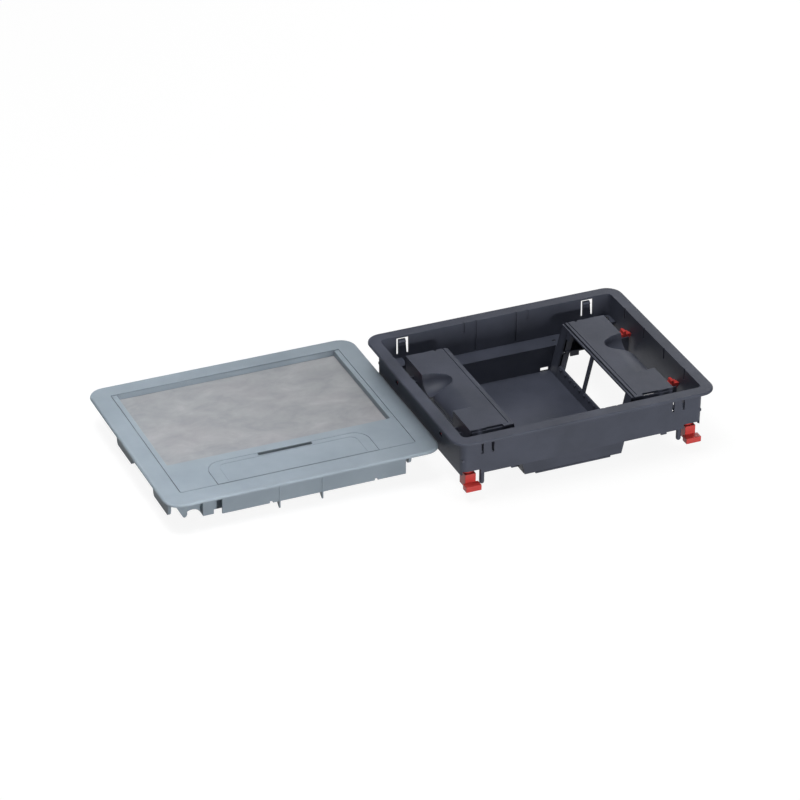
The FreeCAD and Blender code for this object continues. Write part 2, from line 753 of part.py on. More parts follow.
def make_cover_frame():
    plate = rounded_slab(-frame_length / 2, frame_length / 2, -frame_width / 2, frame_width / 2,
                         frame_corner, -frame_thickness, 0)
    plate = plate.makeChamfer(frame_edge_round, edges_at_height(plate, 0))
    inner_wall = lid_outline(lid_gap + frame_wall, -frame_wall_depth, -1)
    shelf = lid_outline(lid_gap + 1, -lid_shelf_drop - lid_shelf_thickness, -lid_shelf_drop)
    shelf = shelf.cut(block(-lid_half_length + shelf_reach, lid_half_length - shelf_reach,
                            -lid_front + shelf_reach, lid_back + 2, -frame_wall_depth - 1, 0))
    shelf = shelf.cut(block(-lid_half_length - 2, lid_half_length + 2, shelf_back_end, lid_back + 2,
                            -frame_wall_depth - 1, 0))
    skirts = []
    for side in (-1, 1):
        y0, y1 = sorted((side * (skirt_half_width - skirt_wall), side * skirt_half_width))
        skirts.append(block(skirt_left, skirt_right, y0, y1, -skirt_depth, -1))
        for x in (-fin_half_spacing, fin_half_spacing):
            skirts.append(make_fin(x, side))
            r0, r1 = sorted((side * (skirt_half_width - 1), side * (skirt_half_width + rib_proud)))
            skirts.append(block(x - fin_thickness / 2, x + fin_thickness / 2, r0, r1, -skirt_depth, -1))
    for sx in (-1, 1):
        for y0, y1 in tab_ranges:
            skirts.append(make_tab(sx, y0, y1))
    end_wall = skirt_half_width - corner_depth
    skirts.append(block(skirt_right - skirt_wall, skirt_right, -skirt_half_width + 1, -end_wall, -skirt_depth, -1))
    frame = plate.fuse(inner_wall).cut(lid_outline(lid_gap, -frame_wall_depth - 1, 1))
    frame = fuse([frame, shelf] + skirts + make_corner_leg())
    frame = frame.cut(lid_outline(lid_gap, -lid_shelf_drop, 1))
    swing_room = lid_half_length + lid_gap
    frame = frame.cut(block(-swing_room, swing_room, hinge_y, lid_back + lid_gap, -lid_shelf_drop, 1))
    cuts = []
    for x in skirt_slots:
        cuts.append(block(x - skirt_slot_width / 2, x + skirt_slot_width / 2, -skirt_half_width - 1,
                          -skirt_half_width + skirt_wall + 1, -skirt_depth - 1, -skirt_depth + skirt_slot_height))
    for sx in (-1, 1):
        start = min(sx * (lid_half_length - 1), sx * (lid_half_length + hinge_pin_length))
        cuts.append(rod(start, hinge_y, hinge_z, hinge_pin_radius + running_gap / 2, hinge_pin_length + 1, X_AXIS))
    return frame.cut(Part.makeCompound(cuts))


hinge_y = lid_back - lid_hinge_radius
hinge_z = -lid_hinge_radius


def make_hinge_pins():
    pins = []
    for sx in (-1, 1):
        inner_end = sx * (lid_half_length - hinge_pin_inset)
        outer_end = inner_end + sx * hinge_pin_length
        pins.append(rod(min(inner_end, outer_end), hinge_y, hinge_z, hinge_pin_radius, hinge_pin_length, X_AXIS))
    return Part.makeCompound(pins)


def make_lid_seal():
    """Rubber strip on the shelf, along both sides and the front."""
    outer = rounded_slab(-lid_half_length, lid_half_length, -lid_front, shelf_back_end, lid_corner,
                         -lid_shelf_drop, -lid_shelf_drop + seal_height)
    inner = block(-lid_half_length + seal_width, lid_half_length - seal_width, -lid_front + seal_width,
                  lid_back + 1, -lid_height - 5, 0)
    return outer.cut(inner)


def flap_opening(grow, z0, z1):
    """Flap outline, open towards the front edge of the lid."""
    shape = rounded_slab(-flap_half_length - grow, flap_half_length + grow, -2 * lid_front, flap_back + grow,
                         flap_corner + grow, z0, z1)
    return shape


def make_lid_panel():
    rear = rounded_slab(-lid_half_length, lid_half_length, recess_front - 3, lid_back, lid_corner, -lid_height, 0)
    plate = rounded_slab(-lid_half_length, lid_half_length, -lid_front, recess_front, lid_corner, -lid_plate, 0)
    front_skirt = rounded_slab(-lid_half_length, lid_half_length, -lid_front, recess_front, lid_corner,
                               -lid_height, -lid_plate + 1)
    front_skirt = front_skirt.cut(rounded_slab(-lid_half_length + lid_rib, lid_half_length - lid_rib,
                                               -lid_front + lid_rib, recess_front + 1, lid_corner / 2,
                                               -lid_height - 1, 0))
    rim = flap_opening(flap_gap + lid_rib, -lid_height + 2, -1).common(
        block(-lid_half_length, lid_half_length, -lid_front, recess_front, -lid_height, 0))
    panel = fuse([rear, plate, front_skirt, rim])
    recess = block(-recess_half_length, recess_half_length, recess_front, recess_back, -recess_depth, 1)
    panel = panel.cut(recess).cut(flap_opening(flap_gap, -lid_height - 1, 1))
    under = lid_height + lid_rib_drop
    ribs = []
    for i in range(-2, 3):
        x = i * recess_half_length / 2.6
        ribs.append(block(x - lid_rib / 2, x + lid_rib / 2, recess_front, recess_back - 14, -under, -lid_height + 0.5))
    for j in (1, 2):
        y = recess_front + j * (recess_back - recess_front) / 3.4
        ribs.append(block(-recess_half_length + 8, recess_half_length - 8, y - lid_rib / 2, y + lid_rib / 2,
                          -under, -lid_height + 0.5))
    panel = fuse([panel] + ribs)
    back_edge = block(-lid_half_length, lid_half_length, hinge_y, lid_back + 1, hinge_z, 1)
    panel = panel.cut(back_edge.cut(rod(-lid_half_length, hinge_y, hinge_z, lid_hinge_radius,
                                        2 * lid_half_length, X_AXIS)))
    cuts = []
    for sx in (-1, 1):
        start = sx * (lid_half_length - hinge_pin_inset - 0.5)
        low = min(start, start + sx * hinge_pin_length)
        cuts.append(rod(low, hinge_y, hinge_z, hinge_pin_radius + running_gap, hinge_pin_length, X_AXIS))
        edge = sx * (flap_half_length - 1)
        low = min(edge, edge + sx * (trunnion_length + 1.5))
        cuts.append(rod(low, flap_axis_y, -flap_axis_drop, trunnion_radius + running_gap,
                        trunnion_length + 1.5, X_AXIS))
    return panel.cut(Part.makeCompound(cuts))


def make_floor_insert():
    return block(-recess_half_length + insert_gap, recess_half_length - insert_gap, recess_front + insert_gap,
                 recess_back - insert_gap, -recess_depth, -recess_depth + insert_thickness)


def make_cable_flap():
    flap = flap_opening(0.0, -flap_thickness, 0).common(
        block(-lid_half_length, lid_half_length, flap_front, 0, -lid_height, 1))
    front = [e for e in flap.Edges if abs(e.BoundBox.YMax - flap_front) < 0.01 and e.Length > flap_half_length]
    flap = flap.makeFillet(0.8, front)
    outer = rounded_slab(-flap_line_half, flap_line_half, -2 * lid_front, flap_line_back, flap_line_corner,
                         -flap_line_depth, 1)
    inner = rounded_slab(-flap_line_half + flap_line_width, flap_line_half - flap_line_width,
                         -2 * lid_front, flap_line_back - flap_line_width,
                         flap_line_corner - flap_line_width, -1, 1)
    flap = flap.cut(outer.cut(inner))
    flap = flap.cut(block(-finger_half, finger_half, flap_back - finger_depth, flap_back + 1, -lid_height, 1))
    trunnions = []
    for sx in (-1, 1):
        low = min(sx * (flap_half_length - 1), sx * (flap_half_length + trunnion_length))
        trunnions.append(rod(low, flap_axis_y, -flap_axis_drop, trunnion_radius, trunnion_length + 1, X_AXIS))
    return fuse([flap] + trunnions)


def make_flap_foam():
    return block(-foam_half_length, foam_half_length, foam_front, foam_front + foam_width,
                 -flap_thickness - foam_height, -flap_thickness)


# Write every piece

save("box_body", make_box_body())
save("pit_tray", make_pit_tray())
device_frame = make_device_frame()
save("right_device_frame", device_frame)
save("left_device_frame", mirrored_x(device_frame))
top_cover = make_top_cover()
save("right_top_cover", top_cover)
save("left_top_cover", mirrored_x(top_cover))
for place, y in (("front", -lock_y), ("back", lock_y)):
    lock = make_lock(y)
    save("support_lock_" + place + "_right", lock)
    save("support_lock_" + place + "_left", mirrored_x(lock))
for name, maker in (("clamp_screw_", make_clamp_screw), ("clamp_bush_", make_clamp_bush), ("clamp_claw_", make_claw)):
    for corner, shape in corner_copies(maker()).items():
        save(name + corner, shape)
for name, maker in (("cover_frame", make_cover_frame), ("lid_hinge_pins", make_hinge_pins),
                    ("lid_seal", make_lid_seal), ("lid_panel", make_lid_panel),
                    ("floor_insert", make_floor_insert), ("cable_flap", make_cable_flap),
                    ("flap_foam", make_flap_foam)):
    save(name, place_cover(maker()))
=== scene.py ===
import math

import bmesh
import bpy
from mathutils import Euler, Matrix, Vector


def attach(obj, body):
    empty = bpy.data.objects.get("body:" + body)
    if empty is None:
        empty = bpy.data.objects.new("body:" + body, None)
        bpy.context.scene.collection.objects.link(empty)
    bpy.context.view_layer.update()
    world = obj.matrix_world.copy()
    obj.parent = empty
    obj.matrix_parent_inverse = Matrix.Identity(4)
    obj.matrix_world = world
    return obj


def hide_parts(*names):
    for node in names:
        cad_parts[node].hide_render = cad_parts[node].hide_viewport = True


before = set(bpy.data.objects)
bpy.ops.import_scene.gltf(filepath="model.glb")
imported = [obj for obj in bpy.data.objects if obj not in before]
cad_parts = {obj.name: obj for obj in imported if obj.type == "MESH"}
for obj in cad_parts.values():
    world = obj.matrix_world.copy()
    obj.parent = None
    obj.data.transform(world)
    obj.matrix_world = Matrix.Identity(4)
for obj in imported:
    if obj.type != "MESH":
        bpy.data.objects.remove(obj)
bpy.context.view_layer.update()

# All sizes below are in millimetres, in the frame of the solids: z = 0 is floor level, the
# underside of the box flange, and the box is centred on x = 0, y = 0. Widths named X and Y
# are measured from that centre.
MM = 0.001
PLASTIC_EDGE = 0.35
CORNER_STEPS = 10

# Box
FLANGE_X, FLANGE_Y, FLANGE_R, FLANGE_TOP = 150.0, 124.5, 17.7, 3.0
WALL_IN_X, WALL_IN_Y, WALL_IN_R = 136.5, 110.4, 5.0
WALL_THICK, WALL_FOOT, WALL_DRAFT = 2.4, -43.0, 0.6
TONGUE_X, TONGUE_WIDE, TONGUE_LEG, TONGUE_FLARE = 109.5, 14.4, 2.4, 1.4
TONGUE_TOP, TONGUE_FOOT, TONGUE_BAR = 0.45, -19.5, 2.2
GUIDE_X, SHORT_GUIDE_X = 23.8, 37.8
SHELF_X, SHELF_Y, SHELF_TOP, SHELF_THICK = 110.5, 92.5, -23.5, 3.0
GUSSET_X, GUSSET_TOP = 32.5, -36.75
LUG_FROM, LUG_TO, LUG_THICK, LUG_DROP = 90.5, 97.5, 2.1, 2.2
CLAMP_X, CLAMP_Y = 126.8, 99.8
BUSH_BORE_R, BUSH_R, BUSH_HEAD_R = 2.55, 3.9, 5.2
LOCK_Y, LOCK_TOP = 57.7, -17.5

# Pit tray and device frames
PIT_Y, LEDGE_X, LEDGE_TOP, LEDGE_THICK = 88.0, 110.4, -34.5, 2.2
LEDGE_SCREW_X, LEDGE_SCREW_Y, LEDGE_SCREW_R = 65.0, 98.5, 2.0
PIT_FLOOR, TRAY_FOOT, TRAY_WALL = -64.0, -73.0, 2.2
SKID_X, SKID_RIB_X = 43.5, 21.75
DRAIN_FROM, DRAIN_TO, DRAIN_HIGH = 44.5, 54.5, 4.5
FACE_FOOT, FACE_LEAN, FACE_THICK = 53.6, 0.225, 2.4
WINDOW_Y, SILL, WINDOW_TOP = 71.0, -51.5, -9.55
DIVIDER = (8.7, 13.8)
JAMB_DEPTH = 9.5
SUPPORT_Y, SUPPORT_OUT, SUPPORT_WALL = 85.8, 117.3, 2.2
LOCK_GUIDE_IN, LOCK_GUIDE_OUT = 4.65, 6.25

# Chamber covers
LID_IN, LID_OUT, LID_Y, LID_TOP, LID_THICK = 70.5, 117.3, 85.0, -7.0, 2.5
LIP_END = 80.5
BOWL_Y, BOWL_REACH_X, BOWL_REACH_Y, BOWL_DEPTH = 24.0, 26.5, 16.3, 16.0
CHANNEL_FRONT, CHANNEL_START, CHANNEL_DROP = -40.0, 93.0, 13.0
SEAM_FROM, SEAM_TO, SEAM_DEPTH = 73.6, 74.6, 0.8

# Floor cover, about its own centre with its top at 0
COVER_AT = Vector((-291.4, 59.0, -32.0))
FRAME_X, FRAME_Y, FRAME_R, FRAME_THICK = 152.0, 128.0, 18.3, 3.0
FRAME_ROOT = -2.5
PANEL_X, PANEL_FRONT, PANEL_BACK = 130.0, -104.0, 107.5
RECESS_X, RECESS_FRONT, RECESS_BACK, RECESS_DEPTH = 124.5, -49.0, 106.0, 7.4
SKIRT_Y, SKIRT_LEFT, SKIRT_RIGHT, SKIRT_FOOT, WING_FOOT = 109.0, -87.0, 117.5, -33.0, -41.0
TAB_IN, TAB_OUT = 132.5, 136.0
LEG_FRONT, LEG_BACK, LEG_LEFT, LEG_RIGHT = -106.0, -94.0, -127.0, -106.0
SHELF_UNDER, LID_SHELF, SEAL_TOP, SHELF_BACK = -12.6, -10.6, -9.4, 98.0
HINGE_Y, HINGE_Z, PIN_R = 105.0, -2.5, 1.5
RIB_HEIGHT, RIB_WIDTH, RIB_Z = 3.5, 2.0, -10.25
INSERT_GAP, INSERT_THICK = 0.3, 1.6
FLAP_X, FLAP_BACK, FLAP_R, FLAP_THICK = 89.0, -61.5, 17.0, 3.0
TRUNNION_Y, TRUNNION_Z, TRUNNION_R = -101.5, -1.7, 0.8


# Mesh helpers

def span(side, near, far):
    """Low and high end of a stretch that lies on one side of the centre."""
    return sorted((side * near, side * far))


def circle(across, up, radius, steps=24):
    """Points of a circle, as pairs."""
    turns = [math.tau * i / steps for i in range(steps)]
    return [(across + radius * math.cos(turn), up + radius * math.sin(turn)) for turn in turns]


def ring(x0, x1, y0, y1, radius, z, steps=CORNER_STEPS):
    """Rectangle with rounded corners, anticlockwise seen from above."""
    points = []
    for cx, cy, start in ((x1 - radius, y1 - radius, 0), (x0 + radius, y1 - radius, 90),
                          (x0 + radius, y0 + radius, 180), (x1 - radius, y0 + radius, 270)):
        for i in range(steps + 1):
            turn = math.radians(start + 90 * i / steps)
            points.append(Vector((cx + radius * math.cos(turn), cy + radius * math.sin(turn), z)))
    return points


def loft(bm, rings, closed=False):
    """Skin over rings of equal count: a closed hoop, or a body capped at both ends."""
    rows = [[bm.verts.new(point) for point in points] for points in rings]
    count = len(rows[0])
    pairs = list(zip(rows, rows[1:]))
    if closed:
        pairs.append((rows[-1], rows[0]))
    for low, high in pairs:
        for i in range(count):
            j = (i + 1) % count
            bm.faces.new((low[i], low[j], high[j], high[i]))
    if not closed:
        bm.faces.new(rows[0])
        bm.faces.new(rows[-1])


def absorb(bm, part):
    """Moves a part's mesh into another."""
    mesh = bpy.data.meshes.new("part")
    part.to_mesh(mesh)
    part.free()
    bm.from_mesh(mesh)
    bpy.data.meshes.remove(mesh)


def soften(part, soft, steps=2):
    """Rounds every edge sharper than 25 degrees."""
    bmesh.ops.recalc_face_normals(part, faces=part.faces)
    sharp = [e for e in part.edges if e.is_manifold and e.calc_face_angle() > math.radians(25)]
    bmesh.ops.bevel(part, geom=sharp, offset=soft, offset_type="OFFSET", segments=steps,
                    profile=0.5, affect="EDGES", clamp_overlap=True)


def block(bm, x0, x1, y0, y1, z0, z1, soft=PLASTIC_EDGE):
    """Box with rounded edges."""
    part = bmesh.new()
    loft(part, [[Vector((x0, y0, z)), Vector((x1, y0, z)), Vector((x1, y1, z)), Vector((x0, y1, z))]
                for z in (z0, z1)])
    soften(part, soft)
    absorb(bm, part)


def bar(bm, outline, axis, low, high, soft=PLASTIC_EDGE):
    """Outline of two coordinates, drawn out along the x or y axis."""
    part = bmesh.new()
    if axis == "x":
        loft(part, [[Vector((t, a, b)) for a, b in outline] for t in (low, high)])
    else:
        loft(part, [[Vector((a, t, b)) for a, b in outline] for t in (low, high)])
    if soft:
        soften(part, soft)
    absorb(bm, part)


def turned(bm, x, y, profile, hollow=False):
    """Round part about an upright axis, from (radius, height) pairs: capped, or hollow along its axis."""
    part = bmesh.new()
    loft(part, [[Vector((a, b, z)) for a, b in circle(x, y, r, 40)] for r, z in profile], closed=hollow)
    bmesh.ops.recalc_face_normals(part, faces=part.faces)
    absorb(bm, part)


def scratch_object(bm, name):
    mesh = bpy.data.meshes.new(name)
    bmesh.ops.recalc_face_normals(bm, faces=bm.faces)
    bm.to_mesh(mesh)
    obj = bpy.data.objects.new(name, mesh)
    bpy.context.scene.collection.objects.link(obj)
    return obj


def evaluated(obj):
    """The object's mesh after its modifiers, as a new mesh."""
    graph = bpy.context.evaluated_depsgraph_get()
    graph.update()
    return bpy.data.meshes.new_from_object(obj.evaluated_get(graph), depsgraph=graph)


def carve(bm, cutters):
    """Cuts the second mesh out of the first and gives the first back."""
    target = scratch_object(bm, "target")
    tool = scratch_object(cutters, "tool")
    cut = target.modifiers.new("cut", "BOOLEAN")
    cut.operation = "DIFFERENCE"
    cut.solver = "EXACT"
    cut.use_self = True
    cut.object = tool
    mesh = evaluated(target)
    bm.clear()
    bm.from_mesh(mesh)
    cutters.free()
    for obj in (target, tool):
        bpy.data.objects.remove(obj)
    bpy.data.meshes.remove(mesh)
    return bm


def flipped(bm, x=1, y=1):
    """Copy mirrored or half turned about the upright axis."""
    copy = bm.copy()
    bmesh.ops.scale(copy, vec=(x, y, 1), verts=copy.verts)
    bmesh.ops.recalc_face_normals(copy, faces=copy.faces)
    return copy


def shifted(bm, by):
    bmesh.ops.translate(bm, vec=by, verts=bm.verts)
    return bm


def piece(name, bm, material, body, nodes=(), angle=38):
    """Finished object in metres that rides on a body and stands for its solids."""
    bmesh.ops.recalc_face_normals(bm, faces=bm.faces)
    bmesh.ops.scale(bm, vec=(MM, MM, MM), verts=bm.verts)
    mesh = bpy.data.meshes.new(name)
    bm.to_mesh(mesh)
    bm.free()
    for polygon in mesh.polygons:
        polygon.use_smooth = True
    mesh.set_sharp_from_angle(angle=math.radians(angle))
    mesh.materials.append(material)
    obj = bpy.data.objects.new(name, mesh)
    bpy.context.scene.collection.objects.link(obj)
    weighted = obj.modifiers.new("flat faces stay flat", "WEIGHTED_NORMAL")
    weighted.keep_sharp = True
    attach(obj, body)
    if nodes:
        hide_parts(*nodes)
    return obj


# Materials

def linear(code):
    """sRGB hex to linear colour."""
    values = [int(code[i:i + 2], 16) / 255 for i in (1, 3, 5)]
    return [v / 12.92 if v <= 0.04045 else ((v + 0.055) / 1.055) ** 2.4 for v in values] + [1.0]


def add(tree, kind, inputs=None, **settings):
    """Adds a node, sets its properties and fills or links its inputs."""
    node = tree.nodes.new(kind)
    for key, value in settings.items():
        setattr(node, key, value)
    for key, value in (inputs or {}).items():
        if isinstance(value, bpy.types.NodeSocket):
            tree.links.new(value, node.inputs[key])
        else:
            node.inputs[key].default_value = value
    return node


def noise(tree, place, size_mm, inputs):
    """Noise whose features measure about the given size."""
    node = add(tree, "ShaderNodeTexNoise", {"Vector": place, "Scale": 1 / (size_mm * MM), **inputs})
    return node.outputs["Fac"]


def new_material(name):
    material = bpy.data.materials.new(name)
    material.use_nodes = True
    tree = material.node_tree
    shader = tree.nodes["Principled BSDF"]
    place = add(tree, "ShaderNodeTexCoord").outputs["Object"]
    return material, tree, shader, place


def stops(ramp, pairs):
    """Fills a colour ramp with (position, hex) pairs."""
    elements = ramp.color_ramp.elements
    while len(elements) < len(pairs):
        elements.new(0.5)
    for element, (position, code) in zip(elements, pairs):
        element.position = position
        element.color = linear(code)


def moulded_abs(name, dark, mid, light, roughness, grain_mm=1.1, depth_mm=0.05):
    """Injection-moulded plastic from a spark-eroded tool.

    Soft clouds between the three colours keep large faces from looking flat, and an even satin
    grain breaks up reflections. The real grain is about 0.2 mm; it is drawn coarser so that it
    shows in the render.
    """
    material, tree, shader, place = new_material(name)
    cloud = noise(tree, place, 60, {"Detail": 3.0, "Roughness": 0.6})
    ramp = add(tree, "ShaderNodeValToRGB", {"Fac": cloud})
    stops(ramp, [(0.3, dark), (0.5, mid), (0.7, light)])
    grain = noise(tree, place, grain_mm, {"Detail": 2.0, "Roughness": 0.55})
    sheen = add(tree, "ShaderNodeMapRange", {"Value": grain, "From Min": 0.35, "From Max": 0.65,
                                             "To Min": roughness - 0.04, "To Max": roughness + 0.05})
    bump = add(tree, "ShaderNodeBump", {"Height": grain, "Strength": 0.25, "Distance": depth_mm * MM})
    tree.links.new(ramp.outputs["Color"], shader.inputs["Base Color"])
    tree.links.new(sheen.outputs["Result"], shader.inputs["Roughness"])
    tree.links.new(bump.outputs["Normal"], shader.inputs["Normal"])
    shader.inputs["IOR"].default_value = 1.53
    shader.inputs["Specular IOR Level"].default_value = 0.3
    return material


anthracite = moulded_abs("anthracite moulded ABS", "#3e424e", "#454956", "#4c505e", 0.52)
blue_grey = moulded_abs("blue-grey moulded ABS", "#8f9ba5", "#95a1ab", "#9ba7b1", 0.5)
red_pom = moulded_abs("red moulded acetal", "#c43b38", "#cd4440", "#d44c48", 0.36, 0.8, 0.02)


def concrete_sheet():
    """Floor covering with a trowelled concrete look: soft grey clouds and warmer patches, faintly uneven."""
    material, tree, shader, place = new_material("concrete-look floor covering")
    centred = add(tree, "ShaderNodeMapping", {"Vector": place, "Location": tuple(-COVER_AT * MM),
                                              "Scale": (1.0, 1.5, 1.0)}).outputs["Vector"]
    clouds = noise(tree, centred, 38, {"Detail": 6.0, "Roughness": 0.62, "Distortion": 0.35})
    tone = add(tree, "ShaderNodeValToRGB", {"Fac": clouds})
    stops(tone, [(0.25, "#8d9093"), (0.42, "#979a9d"), (0.58, "#a1a3a6"), (0.75, "#aeafb2")])
    patches = noise(tree, centred, 85, {"Detail": 2.0})
    warm = add(tree, "ShaderNodeMapRange", {"Value": patches, "From Min": 0.45, "From Max": 0.7,
                                            "To Min": 0.0, "To Max": 0.2})
    tinted = add(tree, "ShaderNodeMix", {"Factor": warm.outputs["Result"]}, data_type="RGBA")
    tree.links.new(tone.outputs["Color"], tinted.inputs["A"])
    tinted.inputs["B"].default_value = linear("#a9a1a6")
    bump = add(tree, "ShaderNodeBump", {"Height": clouds, "Strength": 0.2, "Distance": 0.3 * MM})
    tree.links.new(tinted.outputs["Result"], shader.inputs["Base Color"])
    tree.links.new(bump.outputs["Normal"], shader.inputs["Normal"])
    shader.inputs["Roughness"].default_value = 0.72
    return material


concrete = concrete_sheet()


def plated_metal(name, colour, roughness):
    """Turned or plated metal: bright, with fine spots a little more or less glossy."""
    material, tree, shader, place = new_material(name)
    spots = noise(tree, place, 0.9, {"Detail": 2.0})
    sheen = add(tree, "ShaderNodeMapRange", {"Value": spots, "To Min": roughness - 0.08,
                                             "To Max": roughness + 0.12})
    tree.links.new(sheen.outputs["Result"], shader.inputs["Roughness"])
    shader.inputs["Base Color"].default_value = linear(colour)
    shader.inputs["Metallic"].default_value = 1.0
    return material


zinc = plated_metal("zinc-plated steel", "#c9cbcc", 0.3)
brass = plated_metal("turned brass", "#c9a45a", 0.28)


def soft_black(name, colour, pore_mm, depth_mm):
    """Dull black rubber or foam whose pores catch a little light."""
    material, tree, shader, place = new_material(name)
    pores = add(tree, "ShaderNodeTexVoronoi", {"Vector": place, "Scale": 1 / (pore_mm * MM)})
    bump = add(tree, "ShaderNodeBump", {"Height": pores.outputs["Distance"], "Strength": 0.6,
                                        "Distance": depth_mm * MM})
    tree.links.new(bump.outputs["Normal"], shader.inputs["Normal"])
    shader.inputs["Base Color"].default_value = linear(colour)
    shader.inputs["Roughness"].default_value = 0.85
    return material


rubber = soft_black("extruded EPDM rubber", "#232425", 0.8, 0.03)
foam = soft_black("open-cell foam", "#2d2e30", 1.4, 0.5)


# Geometry Nodes helpers

def node_group(name, inputs):
    """New tree with named inputs and their defaults, and the sockets that give them."""
    tree = bpy.data.node_groups.new(name, "GeometryNodeTree")
    for title, default in inputs.items():
        kind = "NodeSocketInt" if isinstance(default, int) else "NodeSocketFloat"
        socket = tree.interface.new_socket(title, in_out="INPUT", socket_type=kind)
        socket.default_value = default
    tree.interface.new_socket("Geometry", in_out="OUTPUT", socket_type="NodeSocketGeometry")
    return tree, add(tree, "NodeGroupInput").outputs


def give_out(tree, geometry, material):
    """Makes instances real, gives them their material and sends them to the output."""
    real = add(tree, "GeometryNodeRealizeInstances", {"Geometry": geometry})
    coloured = add(tree, "GeometryNodeSetMaterial", {"Geometry": real.outputs["Geometry"],
                                                     "Material": material})
    add(tree, "NodeGroupOutput", {"Geometry": coloured.outputs["Geometry"]})


def block_row(tree, line, x, y, z, material):
    """One block of the given sizes on each point of a line."""
    size = add(tree, "ShaderNodeCombineXYZ", {"X": x, "Y": y, "Z": z})
    cube = add(tree, "GeometryNodeMeshCube", {"Size": size.outputs["Vector"]})
    row = add(tree, "GeometryNodeInstanceOnPoints", {"Points": line.outputs["Mesh"],
                                                     "Instance": cube.outputs["Mesh"]})
    give_out(tree, row.outputs["Instances"], material)


def grown(tree, values):
    """Mesh that a Geometry Nodes tree makes with the given inputs."""
    obj = bpy.data.objects.new("grown", bpy.data.meshes.new("grown"))
    bpy.context.scene.collection.objects.link(obj)
    modifier = obj.modifiers.new("nodes", "NODES")
    modifier.node_group = tree
    for item in tree.interface.items_tree:
        if item.in_out == "INPUT" and item.name in values:
            modifier[item.identifier] = values[item.name]
    mesh = evaluated(obj)
    bpy.data.objects.remove(obj)
    bm = bmesh.new()
    bm.from_mesh(mesh)
    bpy.data.meshes.remove(mesh)
    return bm


# Box body

def box_shell():
    """Flange and drafted walls as one hoop: inner and outer face meet at the foot and at the flange."""
    rows = []
    for inset, z in ((0.0, 0.3), (0.0, 1.6), (0.25, 2.3), (0.7, 2.75), (1.4, FLANGE_TOP)):
        rows.append((FLANGE_X - inset, FLANGE_Y - inset, FLANGE_R - inset, z))
    for grow, z in ((0.55, FLANGE_TOP), (0.2, 2.9), (0.05, 2.6)):
        rows.append((WALL_IN_X + grow, WALL_IN_Y + grow, WALL_IN_R + grow, z))
    foot_x, foot_y = WALL_IN_X - WALL_DRAFT, WALL_IN_Y - WALL_DRAFT
    rows.append((foot_x, foot_y, WALL_IN_R - WALL_DRAFT, WALL_FOOT + 0.4))
    rows.append((foot_x + 0.3, foot_y + 0.3, WALL_IN_R, WALL_FOOT))
    out_x, out_y, out_r = WALL_IN_X + WALL_THICK, WALL_IN_Y + WALL_THICK, WALL_IN_R + WALL_THICK
    for grow, z in ((-WALL_DRAFT - 0.3, WALL_FOOT), (-WALL_DRAFT, WALL_FOOT + 0.4),
                    (0.0, -0.8), (0.25, -0.25), (0.8, 0.0)):
        rows.append((out_x + grow, out_y + grow, out_r + grow, z))
    rows.append((FLANGE_X - 0.3, FLANGE_Y - 0.3, FLANGE_R - 0.3, 0.0))
    bm = bmesh.new()
    loft(bm, [ring(-x, x, -y, y, r, z) for x, y, r, z in rows], closed=True)
    return bm


def tongue_slot(x):
    """Outline, as (x, z), of the slot round the top and both sides of a spring tongue."""
    left, right, under = x - TONGUE_WIDE / 2, x + TONGUE_WIDE / 2, TONGUE_TOP - TONGUE_BAR
    return [(left, TONGUE_FOOT), (left + TONGUE_LEG, TONGUE_FOOT), (left + TONGUE_LEG, under),
            (right - TONGUE_LEG - TONGUE_FLARE, under), (right - TONGUE_LEG, TONGUE_FOOT),
            (right, TONGUE_FOOT), (right, TONGUE_TOP), (left, TONGUE_TOP)]


def shell_cutters():
    """Tongue slots, guide grooves, lock slots and clamp notches."""
    cuts = bmesh.new()
    groove, short_groove, long_groove = 1.2, -9.5, -34.0
    for side in (-1, 1):
        y0, y1 = span(side, WALL_IN_Y - 3, WALL_IN_Y + 5)
        for x in (-TONGUE_X, TONGUE_X):
            bar(cuts, tongue_slot(x), "y", y0, y1, 0)
        y0, y1 = span(side, WALL_IN_Y - 2, WALL_IN_Y + 0.9)
        for reach, foot in ((SHORT_GUIDE_X, short_groove), (GUIDE_X, long_groove)):
            for x in (-reach, reach):
                block(cuts, x - groove, x + groove, y0, y1, foot, FLANGE_TOP + 1, 0.1)
        x0, x1 = span(side, WALL_IN_X - 2, WALL_IN_X + 0.9)
        for y in (-71.0, -23.0, 25.0, 72.0):
            block(cuts, x0, x1, y - groove, y + groove, short_groove, FLANGE_TOP + 1, 0.1)
        for back in (-1, 1):
            x, y = side * CLAMP_X, back * LOCK_Y
            y0, y1 = span(back, WALL_IN_Y - 3, WALL_IN_Y + 5)
            block(cuts, x - 10, x + 10, y0, y1, WALL_FOOT - 2, WALL_FOOT + 5, 0.3)
            x0, x1 = span(side, WALL_IN_X - 3, WALL_IN_X + 5)
            block(cuts, x0, x1, y - 3.35, y + 3.35, LOCK_TOP - 5.15, LOCK_TOP - 0.85, 0.2)
    return cuts


def corner_shelf(bm, sx, sy):
    """Shelf under a clamp screw's head, with the guide post that hangs from it beside the claw."""
    x0, x1 = span(sx, SHELF_X, WALL_IN_X + 1)
    y0, y1 = span(sy, SHELF_Y, WALL_IN_Y + 1)
    shelf = bmesh.new()
    block(shelf, x0, x1, y0, y1, SHELF_TOP - SHELF_THICK, SHELF_TOP)
    hole = bmesh.new()
    turned(hole, sx * CLAMP_X, sy * CLAMP_Y, [(2.6, SHELF_TOP - 6.5), (2.6, SHELF_TOP + 3.5)])
    absorb(bm, carve(shelf, hole))
    tip = [(0.6, -58.0), (1.5, -57.75), (2.2, -57.1), (2.6, -56.1), (2.7, -55.0)]
    turned(bm, sx * 113.6, sy * 107.4, tip + [(2.7, SHELF_TOP - 1.5)])


